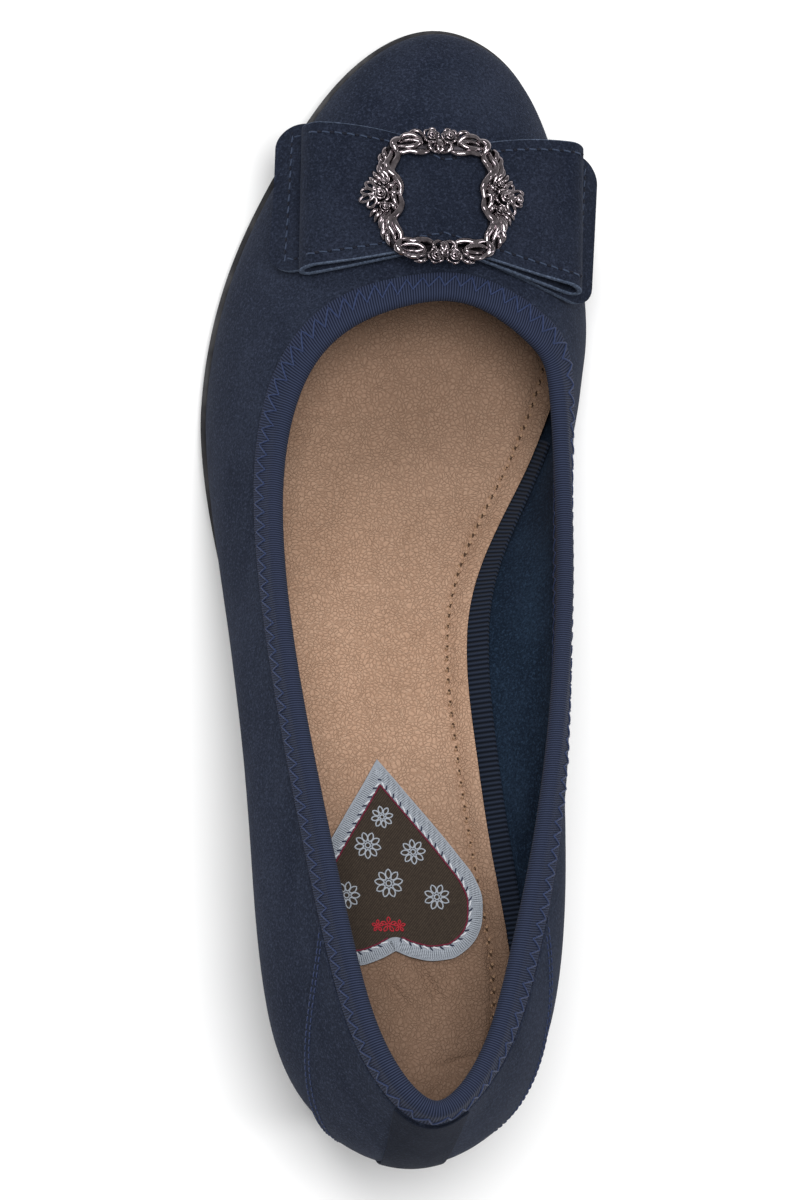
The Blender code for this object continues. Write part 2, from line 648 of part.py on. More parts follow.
def vamp_frame(turn):
    """A frame on the vamp under the bow: X across the shoe, Y towards the toe, Z out of the leather.

    It is lifted until the tails' curve clears the vamp and its binding.
    """
    u, v = np.meshgrid(np.linspace(0.3, 0.7, 161), np.linspace(0.2, 1, 161))
    points = wall_middle(u, v)
    wanted = np.array([BOW_ACROSS * BALL_WIDTH, BOW_ALONG * LENGTH])
    near = np.unravel_index(np.argmin(np.linalg.norm(points[..., :2] - wanted, axis=-1)), u.shape)
    out = Vector(wall_normal(u[near], v[near]))
    out.x = 0
    out.normalize()
    side = Matrix.Rotation(math.radians(turn), 3, out) @ Vector((1, 0, 0))
    frame = Matrix((side, out.cross(side), out)).transposed().to_4x4()
    frame.translation = Vector(points[near])
    bound = np.linalg.norm(points - wall_middle(u, 1), axis=-1) < BINDING_OUTSIDE
    surface = points + wall_normal(u, v) * (bound * (CLEARANCE + BINDING_THICKNESS))[..., None]
    local = (surface.reshape(-1, 3) - points[near]) @ np.array(frame.to_3x3())
    half = TAIL_LENGTH / 2
    x, y = local[:, 0] - TAIL_SIDE, local[:, 1] - TAIL_UP
    under = np.abs(x) < half
    under &= np.abs(y) < bow_height(x, half, BOW_MIDDLE_HEIGHT, TAIL_END_HEIGHT) / 2
    lift = (local[:, 2] + TAIL_DROP * (x / half) ** 2)[under].max()
    frame.translation += out * float(lift)
    return frame


def bow_height(x, half, middle, end):
    """Height of a band of the bow, pinched in the middle."""
    share = np.clip(np.abs(x) / half, 0, 1)
    return middle + (end - middle) * (1 - (1 - share) ** PINCH)


def bow_levels():
    """Heights above the vamp at the bow's middle: tails, loops' lower and upper layer, and their top."""
    tails = CLEARANCE
    loops = tails + LEATHER + CLEARANCE
    return tails, loops, loops + LEATHER + CLEARANCE, loops + 2 * LEATHER + CLEARANCE


def layer_opening(x):
    """How far the loops' upper layer has left the lower one, growing from the middle to the folds."""
    straight = BOW_LENGTH / 2 - LOOP_GAP / 2 - LEATHER
    return (LOOP_GAP - CLEARANCE) * np.clip(np.abs(x) / straight, 0, 1) ** LOOP_CURVE


def bow_loops(frame):
    """One band folded into two flat loops."""
    half = BOW_LENGTH / 2
    _, low, high, _ = bow_levels()
    bend = (LOOP_GAP + LEATHER) / 2  # radius of the folds' middle line
    straight = half - bend - LEATHER / 2
    run = np.linspace(-1, 1, 19) * straight
    turn = np.linspace(-math.pi / 2, math.pi / 2, 7)[1:-1]
    fold_up = low + LEATHER / 2 + bend
    fold = [(straight + bend * c, fold_up + bend * s, c, s) for c, s in zip(np.cos(turn), np.sin(turn))]
    line = [(x, low + LEATHER / 2, 0, -1) for x in run]
    line += fold
    line += [(x, high + LEATHER / 2 + layer_opening(x), 0, 1) for x in run[::-1]]
    line += [(-x, z, -out_x, out_z) for x, z, out_x, out_z in fold[::-1]]
    sections = []
    for x, z, out_x, out_z in line:
        z -= BOW_DROP * (x / half) ** 2
        tall = bow_height(x, half, BOW_MIDDLE_HEIGHT, BOW_END_HEIGHT) / 2
        corners = [(side * LEATHER / 2, y) for side, y in ((-1, -tall), (1, -tall), (1, tall), (-1, tall))]
        sections.append([frame @ Vector((x + out_x * d, y, z + out_z * d)) for d, y in corners])
    return loft("bow_loops", sections, "suede", closed=True)


def bow_tails(frame):
    """The flat piece under the loops, with round corners."""
    half = TAIL_LENGTH / 2
    tails = bow_levels()[0]
    sections = []
    for x in np.concatenate([[-1], np.linspace(-0.985, 0.985, 25), [1]]) * half:
        tall = bow_height(x, half, BOW_MIDDLE_HEIGHT, TAIL_END_HEIGHT) / 2
        into_corner = np.clip(np.abs(x) - (half - TAIL_CORNER), 0, TAIL_CORNER)
        tall -= TAIL_CORNER - math.sqrt(TAIL_CORNER**2 - into_corner**2)
        z = tails - TAIL_DROP * (x / half) ** 2
        corners = ((-tall, z), (-tall, z + LEATHER), (tall, z + LEATHER), (tall, z))
        sections.append([frame @ Vector((x + TAIL_SIDE, y + TAIL_UP, level)) for y, level in corners])
    return loft("bow_tails", sections, "suede")


def rounded_box(width, height, corner, angle):
    """The point at an angle on a rectangle with round corners."""
    c, s = math.cos(angle), math.sin(angle)
    low, high = 0.0, max(width, height)
    for _ in range(40):
        r = (low + high) / 2
        dx = max(abs(c) * r - (width / 2 - corner), 0)
        dy = max(abs(s) * r - (height / 2 - corner), 0)
        if math.hypot(dx, dy) < corner:
            low = r
        else:
            high = r
    return r * c, r * s


def on_bow(frame, x, y, z):
    """A point z above the loops' upper layer, clear of it, with x and y from the buckle's middle."""
    x, y = x + BUCKLE_SIDE, y + BUCKLE_UP
    top = bow_levels()[3] + 2 * CLEARANCE + layer_opening(x)
    return frame @ Vector((x, y, z + top - BOW_DROP * (x / (BOW_LENGTH / 2)) ** 2))


def dome(frame, x, y, radius, rise):
    """A flower's boss on the buckle, as a flattened ball cut off level above the leather."""
    bpy.ops.mesh.primitive_uv_sphere_add(segments=14, ring_count=8, radius=radius)
    ball = bpy.context.object
    for vertex in ball.data.vertices:
        px, py, pz = vertex.co
        lifted = BUCKLE_THICKNESS * BOSS_MIDDLE + pz * rise / radius
        vertex.co = on_bow(frame, x + px, y + py, max(lifted, BUCKLE_THICKNESS * BOSS_FOOT))
    return ball


def buckle(frame):
    """The ornamental frame: a rounded ring with two roses above, two below and a flower at each side."""
    sections = []
    for angle in np.linspace(0, 2 * math.pi, 64, endpoint=False):
        window = rounded_box(WINDOW_WIDTH, WINDOW_HEIGHT, WINDOW_CORNER, angle)
        edge = rounded_box(BUCKLE_WIDTH, BUCKLE_HEIGHT, BUCKLE_CORNER, angle)
        middle = [(a + b) / 2 for a, b in zip(window, edge)]
        sections.append([
            on_bow(frame, *window, 0),
            on_bow(frame, *window, BUCKLE_THICKNESS * BUCKLE_SHOULDER),
            on_bow(frame, *middle, BUCKLE_THICKNESS),
            on_bow(frame, *edge, BUCKLE_THICKNESS * BUCKLE_SHOULDER),
            on_bow(frame, *edge, 0),
        ])
    ring = loft("buckle", sections, "dark metal", closed=True)
    row = (WINDOW_HEIGHT + BUCKLE_HEIGHT) / 4
    side = BUCKLE_WIDTH / 2 - BLOSSOM_RADIUS / 2 + BLOSSOM_OUT / 2
    for across in (-1, 1):
        for up in (-1, 1):
            join(ring, dome(frame, across * ROSE_SPACING / 2, up * row, ROSE_RADIUS, ROSE_RISE))
        join(ring, dome(frame, across * side, 0, BLOSSOM_RADIUS, ROSE_RISE))
    return ring


def join(piece, other):
    """Boolean union of other into piece."""
    union = piece.modifiers.new("union", "BOOLEAN")
    union.operation = "UNION"
    union.object = other
    bpy.context.view_layer.update()
    graph = bpy.context.evaluated_depsgraph_get()
    joined = bpy.data.meshes.new_from_object(piece.evaluated_get(graph))
    piece.modifiers.clear()
    piece.data = joined
    bpy.data.objects.remove(other)


def centre_on_origin(pieces):
    """Moves the shoe so that it stands on Z = 0 with the middle of its box over the origin."""
    corners = np.array([v.co for piece in pieces for v in piece.data.vertices])
    middle = (corners.min(axis=0) + corners.max(axis=0)) / 2
    for piece in pieces:
        piece.data.transform(Matrix.Translation((-middle[0], -middle[1], 0)))


def main():
    """Builds the pump."""
    for left_over in list(bpy.data.objects):
        bpy.data.objects.remove(left_over)
    bpy.context.scene.collection.children.link(bpy.data.collections.new("pump"))
    heel, outer_line, inner_line = heel_block()
    tails_frame = vamp_frame(TAIL_TURN)
    loops_frame = tails_frame @ Matrix.Rotation(math.radians(BOW_TURN - TAIL_TURN), 4, "Z")
    pieces = [
        upper(),
        topline_binding(),
        rear_panel(),
        back_strip(),
        outsole(),
        heel,
        top_lift(outer_line, inner_line),
        insole(),
        side_tape(),
        heel_patch(),
        bow_tails(tails_frame),
        bow_loops(loops_frame),
        buckle(loops_frame),
    ]
    centre_on_origin(pieces)


main()
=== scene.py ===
"""Looks for the left dirndl pump: navy suede, elastic topline, bow with an ornamental buckle, tan insole.

The pieces are wrapped onto the wall and bed of the shoe, which come from the same sizes as the solids.
"""

import json
import math
from collections import namedtuple

import bpy
import numpy as np
from mathutils import Matrix, Vector, kdtree, noise

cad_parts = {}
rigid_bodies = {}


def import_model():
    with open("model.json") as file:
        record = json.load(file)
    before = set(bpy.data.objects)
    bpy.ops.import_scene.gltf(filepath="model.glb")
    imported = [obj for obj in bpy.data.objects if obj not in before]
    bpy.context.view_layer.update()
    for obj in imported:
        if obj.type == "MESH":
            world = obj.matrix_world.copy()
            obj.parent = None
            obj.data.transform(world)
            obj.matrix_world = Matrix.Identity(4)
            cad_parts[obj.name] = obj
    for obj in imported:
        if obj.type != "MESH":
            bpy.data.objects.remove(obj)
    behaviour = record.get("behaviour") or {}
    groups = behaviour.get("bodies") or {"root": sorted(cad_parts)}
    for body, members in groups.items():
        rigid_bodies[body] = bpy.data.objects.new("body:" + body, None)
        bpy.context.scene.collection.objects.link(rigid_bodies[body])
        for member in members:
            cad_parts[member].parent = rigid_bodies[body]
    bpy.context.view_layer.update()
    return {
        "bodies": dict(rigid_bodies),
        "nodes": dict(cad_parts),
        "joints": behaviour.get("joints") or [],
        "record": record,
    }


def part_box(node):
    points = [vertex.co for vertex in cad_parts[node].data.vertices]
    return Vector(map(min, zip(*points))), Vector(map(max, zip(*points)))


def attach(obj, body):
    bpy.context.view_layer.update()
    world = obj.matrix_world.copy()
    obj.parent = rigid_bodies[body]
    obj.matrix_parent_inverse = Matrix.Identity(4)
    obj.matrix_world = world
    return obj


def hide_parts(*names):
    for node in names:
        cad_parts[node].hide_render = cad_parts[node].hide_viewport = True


bl_info = {
    "name": "Dirndl Pump",
    "version": (1, 0, 0),
    "blender": (4, 5, 0),
    "location": "3D View > Sidebar > Pump",
    "description": "Dresses the dirndl pump: suede, topline, insole, bow and buckle",
    "category": "Object",
}

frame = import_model()
MM = 0.001

# Last and shoe
LENGTH = 0.246  # lasting edge seen from above, heel back to toe tip
BALL_WIDTH = 0.081  # lasting edge across the ball
HEEL_LIFT = 0.040  # how far the seat stands above the forefoot
BACK_HEIGHT = 0.056  # topline above the seat at the heel back
TOE_SPRING = 0.008
SPRING_CURVE = 1.8  # how late the toe spring rises
WALL = 0.0018  # suede and lining together
CLEARANCE = 0.0003  # between pieces that meet
# Sole and heel
SOLE_THICKNESS = 0.0035
WAIST_SOLE_THICKNESS = 0.0024
SOLE_MARGIN = 0.0012  # how far the sole's edge stands past the lasting edge at the ball
SOLE_EDGE_TAPER = 0.0010
# Insole, tape and patch
INSOLE_THICKNESS = 0.0040
INSOLE_CUP = 0.0020  # rise of the insole's rim
INSOLE_GAP = 0.0007  # between the insole's rim and the tape
INSOLE_FOOT_INSET = 0.0050  # insole's lower edge inside the lasting edge
CUP_END = 0.40  # share of the ball width below which the insole's ends turn up as well
ARCH_RISE = 0.0025  # extra rise of the rim at the inner waist
ARCH_MIDDLE = 0.42  # shares of the length
ARCH_SPREAD = 0.14
TAPE_THICKNESS = 0.0008
TAPE_LAP = 0.0030  # how far the tape reaches down behind the insole's rim
TAPE_SHOW = 0.0028  # how far it stands above the rim
TAPE_END = 0.63  # share of the length where the tape ends on both sides
PATCH_LENGTH = 0.0445
PATCH_WIDTH = 0.0395
PATCH_THICKNESS = 0.0008
PATCH_ALONG = 0.249  # share of the length, to the middle of the patch
PATCH_ACROSS = -0.050  # share of the ball width
PATCH_TURN = 3.8
# Topline binding, rear panel and back strip
BINDING_THICKNESS = 0.0008
BINDING_OUTSIDE = 0.0065
BINDING_INSIDE = 0.0050
PANEL_THICKNESS = 0.0007
PANEL_TOP = 0.060  # panel's half width along the lasting edge, read at the topline
PANEL_FOOT = 0.015
OVERLAY_GAP = 0.0005  # between an overlay and the wall it lies on
STRIP_THICKNESS = 0.0007
STRIP_WIDTH = 0.0145
OVERLAY_FOOT = 0.0012  # how far the overlays stop short of the sole
# Bow
BOW_ALONG = 0.834  # share of the length, to the middle of the bow
BOW_ACROSS = 0.108  # share of the ball width
BOW_TURN = -3.4
BOW_LENGTH = 0.0640  # fold to fold, seen from above
BOW_END_HEIGHT = 0.0338
BOW_MIDDLE_HEIGHT = 0.0222
BOW_DROP = 0.0090  # how far the folds hang below the middle
LEATHER = 0.0012  # the bow's bands
LOOP_GAP = 0.0042  # between the two layers of a loop
LOOP_CURVE = 1.3  # how late the layers part
PINCH = 1.6  # how quickly the bands widen from their middle
TAIL_LENGTH = 0.0704
TAIL_END_HEIGHT = 0.0352
TAIL_SIDE = 0.0004  # middle of the tails from the bow's middle, towards the inner side
TAIL_UP = 0.0014  # and towards the toe
TAIL_TURN = -5.5
TAIL_DROP = 0.0135
TAIL_CORNER = 0.0055
# Buckle
WINDOW_WIDTH = 0.0197
WINDOW_HEIGHT = 0.0213
WINDOW_CORNER = 0.0020
BUCKLE_WIDTH = 0.0295  # without the flowers at its sides
BUCKLE_HEIGHT = 0.0302
BUCKLE_CORNER = 0.0100
BUCKLE_SIDE = -0.0009  # middle of the buckle from the bow's middle, towards the inner side
BUCKLE_UP = -0.0009  # and towards the toe
BUCKLE_THICKNESS = 0.0024
BLOSSOM_RADIUS = 0.0043
# What is drawn of the solids' thin layers, as shares of their thickness, and other changes to them
BINDING_DRAWN = 0.85
OVERLAY_DRAWN = 0.8
STRIP_HALF = 0.44  # half the drawn strip's width, in STRIP_WIDTH
PATCH_DRAWN = 0.6
BAND_SHORTER = 0.9 * MM  # the drawn band ends this far inside the solid one
THROAT_NARROWER = 0.26  # share by which the band is narrower in front
LOOP_SHRINK = 0.045  # share by which the outer loop is shorter than the inner one
BUCKLE_TURN = 3.0  # degrees that the buckle is turned on the bow
# What is sewn and woven on
ZIGZAG_PITCH = 3.4 * MM
ZIGZAG_INNER = 1.2 * MM
ZIGZAG_OUTER = 4.7 * MM
ZIGZAG_LEAN = 0.35  # share of a stroke by which its inner corners lag
ZIGZAG_THICKER = 1.35
INNER_LOWER = 0.6 * MM  # the zigzag runs this much lower along the inner side
RIB_PITCH = 0.56 * MM
TAPE_PITCH = 1.05 * MM
THREAD = 0.17 * MM
STITCH = 2.7 * MM
PANEL_STITCH = 1.7 * MM
PATCH_STITCH = 2.3 * MM
SATIN_PITCH = 0.46 * MM
BOW_STITCH_INSET = 2.6 * MM
INSOLE_STITCH_INSET = 3.8 * MM
PATCH_BORDER = 3.0 * MM
EDGE_ROUND = 0.28 * MM  # of the bow's cut edges
# The leather's grain and creases
GRAIN_WARP = 3.2 * MM  # how far the grain is drawn out of an even pattern
CREASE_DEPTH = 1.7
# Soft folds of the upper: middle round the shoe and up the wall, width round it, depth in millimetres
UPPER_FOLDS = (
    (0.30, 0.55, 0.010, -0.30),
    (0.315, 0.50, 0.008, 0.22),
    (0.655, 0.50, 0.010, -0.28),
    (0.70, 0.42, 0.012, -0.25),
    (0.725, 0.5, 0.012, 0.2),
)
# Painted shade on the insole, where the leather is painted darker for the shade under the vamp and between
# the heel walls: from and to along the shoe in metres, and how much
SOCK_PAINTED_SHADE = ((-0.010, 0.030, 0.42), (0.028, 0.050, 0.30), (-0.032, -0.072, 0.80))
# Ribs of the upper, from the heel back round the outer side to the toe and back along the inner side.
# along and top_along are shares of LENGTH, across and top_across shares of BALL_WIDTH.
# reach is a share of the way from topline to lasting edge, seen from above.
# The rest are shares of BACK_HEIGHT.
Rib = namedtuple("Rib", "place along across top_along top_across top_up flare rise reach crown fall")
RIBS = (
    Rib("heel back", 0.000, -0.012, 0.021, -0.042, 1.00, 0.16, 0.28, 0.00, 0.09, 0.40),
    Rib("outer heel corner", 0.034, -0.245, 0.061, -0.172, 0.95, 0.14, 0.28, 0.00, 0.09, 0.38),
    Rib("outer heel side", 0.144, -0.358, 0.153, -0.258, 0.84, 0.18, 0.26, 0.00, 0.10, 0.34),
    Rib("outer seat front", 0.285, -0.375, 0.284, -0.318, 0.69, 0.20, 0.24, 0.00, 0.08, 0.28),
    Rib("outer waist", 0.455, -0.410, 0.455, -0.372, 0.63, 0.16, 0.22, 0.00, 0.06, 0.24),
    Rib("outer ball", 0.629, -0.466, 0.606, -0.353, 0.62, 0.06, 0.22, 0.10, 0.08, 0.17),
    Rib("small toe", 0.763, -0.409, 0.684, -0.277, 0.64, 0.05, 0.22, 0.30, 0.05, 0.11),
    Rib("outer toe side", 0.896, -0.224, 0.731, -0.136, 0.67, 0.05, 0.23, 0.44, 0.03, 0.09),
    Rib("outer toe corner", 0.976, -0.030, 0.749, 0.006, 0.685, 0.05, 0.24, 0.48, 0.01, 0.08),
    Rib("toe tip", 1.000, 0.146, 0.754, 0.110, 0.69, 0.05, 0.24, 0.50, 0.00, 0.07),
    Rib("inner toe corner", 0.978, 0.326, 0.748, 0.212, 0.685, 0.05, 0.24, 0.48, 0.01, 0.08),
    Rib("inner toe side", 0.888, 0.480, 0.721, 0.346, 0.665, 0.05, 0.23, 0.42, 0.03, 0.09),
    Rib("inner ball", 0.722, 0.552, 0.674, 0.434, 0.63, 0.06, 0.23, 0.20, 0.07, 0.15),
    Rib("inner joint", 0.599, 0.402, 0.592, 0.441, 0.61, 0.10, 0.22, 0.00, 0.07, 0.22),
    Rib("inner waist", 0.467, 0.200, 0.479, 0.417, 0.62, 0.07, 0.22, 0.00, 0.05, 0.28),
    Rib("inner arch", 0.340, 0.195, 0.345, 0.348, 0.68, 0.10, 0.22, 0.00, 0.17, 0.30),
    Rib("inner seat front", 0.243, 0.235, 0.245, 0.279, 0.755, 0.16, 0.23, 0.00, 0.29, 0.32),
    Rib("inner heel side", 0.146, 0.285, 0.150, 0.202, 0.84, 0.18, 0.25, 0.00, 0.30, 0.34),
    Rib("inner heel corner", 0.034, 0.205, 0.056, 0.090, 0.95, 0.16, 0.28, 0.00, 0.15, 0.38),
)
# How the bed of the shoe rises from the ball to the seat, in shares of LENGTH and HEEL_LIFT.
Bed = namedtuple("Bed", "along rise")
BED = (
    Bed(0.00, 1.00),
    Bed(0.12, 0.975),
    Bed(0.22, 0.925),
    Bed(0.32, 0.80),
    Bed(0.42, 0.57),
    Bed(0.52, 0.30),
    Bed(0.60, 0.105),
    Bed(0.665, 0.00),
    Bed(0.77, 0.00),
    Bed(1.00, 0.00),
)
SPRING_START = 0.77  # share of LENGTH where the toe begins to lift
WAIST_START = 0.60  # share of LENGTH where the sole is at its full thickness
WAIST_END = 0.45
# One half of the heart, from its tip to its notch, in shares of half its width and of its length.
Heart = namedtuple("Heart", "across along")
HEART = (
    Heart(0.000, 0.000),
    Heart(0.336, 0.210),
    Heart(0.600, 0.375),
    Heart(0.790, 0.500),
    Heart(0.932, 0.605),
    Heart(1.000, 0.715),
    Heart(0.982, 0.812),
    Heart(0.910, 0.895),
    Heart(0.775, 0.957),
    Heart(0.604, 0.994),
    Heart(0.412, 1.000),
    Heart(0.172, 0.975),
    Heart(0.000, 0.940),
)


def monotone(x, xs, ys):
    """A smooth curve through a table that never passes its rows and stays flat between equal ones."""
    xs, ys = np.asarray(xs, float), np.asarray(ys, float)
    step = np.diff(xs)
    slope = np.diff(ys) / step
    tangent = np.zeros_like(ys)
    tangent[0], tangent[-1] = slope[0], slope[-1]
    same_way = slope[1:] * slope[:-1] > 0
    both = slope[1:] + slope[:-1]
    tangent[1:-1][same_way] = (2 * slope[1:] * slope[:-1])[same_way] / both[same_way]
    x = np.clip(np.asarray(x, float), xs[0], xs[-1])
    i = np.clip(np.searchsorted(xs, x, side="right") - 1, 0, len(step) - 1)
    t = (x - xs[i]) / step[i]
    rise = ys[i + 1] - ys[i]
    start, end = tangent[i] * step[i], tangent[i + 1] * step[i]
    return ys[i] + t * start + t**2 * (3 * rise - 2 * start - end) + t**3 * (start + end - 2 * rise)


def closed_spline(knots, values, at):
    """A smooth closed curve through values at knots from 0 to less than 1, read at the places at."""
    n = len(knots)
    step = np.diff(np.append(knots, 1.0))
    slope = (np.roll(values, -1, axis=0) - values) / step[:, None]
    system = np.zeros((n, n))
    for i in range(n):
        before = step[i - 1]
        system[i, i - 1] = before
        system[i, i] = 2 * (before + step[i])
        system[i, (i + 1) % n] = step[i]
    bend = np.linalg.solve(system, 6 * (slope - np.roll(slope, 1, axis=0)))
    u = np.mod(at, 1.0)
    i = np.clip(np.searchsorted(knots, u, side="right") - 1, 0, n - 1)
    j = (i + 1) % n
    h = step[i][..., None]
    t = u[..., None] - knots[i][..., None]
    linear = slope[i] - h * (2 * bend[i] + bend[j]) / 6
    return values[i] + t * (linear + t * (bend[i] / 2 + t * (bend[j] - bend[i]) / (6 * h)))


def gone_along(line):
    """Distances from a line's start to each of its points."""
    return np.append(0, np.cumsum(np.linalg.norm(np.diff(line, axis=0), axis=1)))


def inward_of(line, step=1):
    """Unit directions into a closed line, seen from above."""
    along = np.roll(line, -step, axis=0) - np.roll(line, step, axis=0)
    inward = np.stack([along[:, 1], -along[:, 0]], axis=1)
    inward /= np.linalg.norm(inward, axis=1)[:, None]
    return inward if ((line.mean(axis=0) - line) * inward).sum() > 0 else -inward


def turned(x, y, degrees):
    """x and y turned round the origin."""
    c, s = math.cos(math.radians(degrees)), math.sin(math.radians(degrees))
    return x * c - y * s, x * s + y * c


def bed_height(y):
    """Height of the sole's upper face at a distance y from the heel back."""
    along = np.asarray(y, float) / LENGTH
    rise = monotone(along, [row.along for row in BED], [row.rise for row in BED])
    spring = np.clip((along - SPRING_START) / (1 - SPRING_START), 0, None)
    return SOLE_THICKNESS + HEEL_LIFT * rise + TOE_SPRING * spring**SPRING_CURVE


def rib_table():
    """The ribs in metres: lasting edge, its handle, the topline's handle and topline, 3 columns each."""
    foot = np.array([(r.across * BALL_WIDTH, r.along * LENGTH, 0) for r in RIBS])
    top = np.array([(r.top_across * BALL_WIDTH, r.top_along * LENGTH, 0) for r in RIBS])
    foot[:, 2] = bed_height(foot[:, 1]) + CLEARANCE
    top[:, 2] = bed_height(top[:, 1]) + np.array([r.top_up for r in RIBS]) * BACK_HEIGHT
    outward = np.column_stack([-inward_of(foot[:, :2]), np.zeros(len(foot))])
    up = np.array([0, 0, BACK_HEIGHT])
    low = foot + outward * [[r.flare * BACK_HEIGHT] for r in RIBS] + up * [[r.rise] for r in RIBS]
    plan = (foot - top) * [1, 1, 0]
    high = top + plan * [[r.reach] for r in RIBS] - up * [[r.fall] for r in RIBS]
    high += outward * [[r.crown * BACK_HEIGHT] for r in RIBS]
    return np.concatenate([foot, low, high, top], axis=1)


RIB_TABLE = rib_table()
RIB_STEPS = np.linalg.norm(np.diff(RIB_TABLE[:, :2], axis=0, append=RIB_TABLE[:1, :2]), axis=1)
GIRTH = RIB_STEPS.sum()
RIB_KNOTS = np.concatenate([[0.0], np.cumsum(RIB_STEPS)[:-1]]) / GIRTH


def wall_middle(u, v):
    """The wall's outer face at u round the shoe from the heel back, and v from lasting edge to topline."""
    u, v = np.broadcast_arrays(np.asarray(u, float), np.asarray(v, float))
    foot, low, high, top = np.split(closed_spline(RIB_KNOTS, RIB_TABLE, u), 4, axis=-1)
    on_bed = bed_height(foot[..., 1]) + CLEARANCE - foot[..., 2]
    foot[..., 2] += on_bed
    low[..., 2] += on_bed
    v = v[..., None]
    w = 1 - v
    return foot * w**3 + 3 * low * w**2 * v + 3 * high * w * v**2 + top * v**3


def wall_normal(u, v):
    """The wall's outward direction."""
    small = 1e-4
    round_shoe = wall_middle(u + small, v) - wall_middle(u - small, v)
    upwards = wall_middle(u, v + small) - wall_middle(u, v - small)
    normal = np.cross(upwards, round_shoe)
    return normal / np.linalg.norm(normal, axis=-1, keepdims=True)


def wall_point(u, v, offset=0.0):
    """A point offset outside the wall's outer face."""
    u, v = np.broadcast_arrays(np.asarray(u, float), np.asarray(v, float))
    return wall_middle(u, v) + wall_normal(u, v) * np.asarray(offset)[..., None]


def v_from(u, distance, top):
    """v at a distance along the wall, below the topline if top is set, else above the lasting edge."""
    steps = np.linspace(0, 1, 61)
    u, distance = np.broadcast_arrays(np.asarray(u, float), np.asarray(distance, float))
    found = np.empty(u.shape)
    for at in np.ndindex(u.shape):
        line = wall_middle(np.full(len(steps), u[at]), steps)
        gone = gone_along(line)
        wanted = gone[-1] - distance[at] if top else distance[at]
        found[at] = np.interp(wanted, gone, steps)
    return found


def v_at(u, height, offset):
    """v where the surface offset outside the wall's face stands height above the lasting edge."""
    steps = np.linspace(0, 1, 61)
    u, height = np.broadcast_arrays(np.asarray(u, float), np.asarray(height, float))
    found = np.empty(u.shape)
    for at in np.ndindex(u.shape):
        up = wall_point(u[at], steps, offset)[:, 2] - wall_middle(u[at], 0.0)[2]
        found[at] = np.interp(height[at], up, steps)
    return found


ROUND = np.linspace(0, 1, 361)[:-1]


def lasting_edge(margin):
    """The lasting edge moved outwards by margin, seen from above."""
    edge = wall_middle(ROUND, 0 * ROUND)[:, :2]
    return edge - inward_of(edge) * margin


class Outline:
    """A closed line round the shoe seen from above, read as the x of its two sides at any y."""

    def __init__(self, edge):
        edge = np.roll(edge, -int(np.argmin(edge[:, 1])), axis=0)
        toe = int(np.argmax(edge[:, 1]))
        self.outer = edge[: toe + 1]
        self.inner = np.concatenate([edge[toe:], edge[:1]])[::-1]
        self.ends = edge[0, 1], edge[toe, 1]

    def sides(self, y):
        """x of the outer and of the inner side."""
        outer = np.interp(y, self.outer[:, 1], self.outer[:, 0])
        return outer, np.interp(y, self.inner[:, 1], self.inner[:, 0])


def arch_rise(y):
    """The extra rise of the insole's rim at the inner waist."""
    return ARCH_RISE * np.exp(-(((y / LENGTH - ARCH_MIDDLE) / ARCH_SPREAD) ** 2))


def rim_height(u):
    """Height of the insole's rim above the lasting edge."""
    y = wall_middle(u, 0 * u)[:, 1]
    side = np.clip((u - 0.5) * 8, 0, 1) * np.clip((1 - u) * 8, 0, 1)
    return INSOLE_THICKNESS + INSOLE_CUP + arch_rise(y) * side


def insole_outlines():
    """The insole's rim and its lower edge, clear of the tape and the wall."""
    inside = WALL + OVERLAY_GAP + TAPE_THICKNESS + INSOLE_GAP
    rim = wall_point(ROUND, v_at(ROUND, rim_height(ROUND), -inside), -inside)
    return Outline(rim[:, :2]), Outline(lasting_edge(-INSOLE_FOOT_INSET))


INSOLE_RIM, INSOLE_FOOT = insole_outlines()


def insole_top(y, share):
    """The insole's upper face: padded, cupped at its rim, and raised along the inner waist."""
    outer, inner = INSOLE_RIM.sides(y)
    hollow = np.clip((inner - outer) / (CUP_END * BALL_WIDTH), 0, 1)
    rim = 1 - (1 - np.abs(2 * share - 1) ** 4) * hollow * (2 - hollow)
    arch = arch_rise(y) * np.clip(2 * share - 1, 0, 1) ** 3
    return bed_height(y) + CLEARANCE + INSOLE_THICKNESS + INSOLE_CUP * rim + arch


def insole_height(x, y):
    """Height of the insole's upper face at a place seen from above."""
    outer, inner = INSOLE_RIM.sides(y)
    return insole_top(y, np.clip((x - outer) / (inner - outer), 0, 1))


def heart_outline(count=44):
    """A heart that points along +Y, one unit wide and one unit long, round its own middle."""
    rows = np.array(HEART) * (0.5, 1.0)
    gone = gone_along(rows)
    at = np.linspace(0, gone[-1], count // 2 + 1)
    x, y = monotone(at, gone, rows[:, 0]), 0.5 - monotone(at, gone, rows[:, 1])
    return np.append(x, -x[-2:0:-1]), np.append(y, y[-2:0:-1])


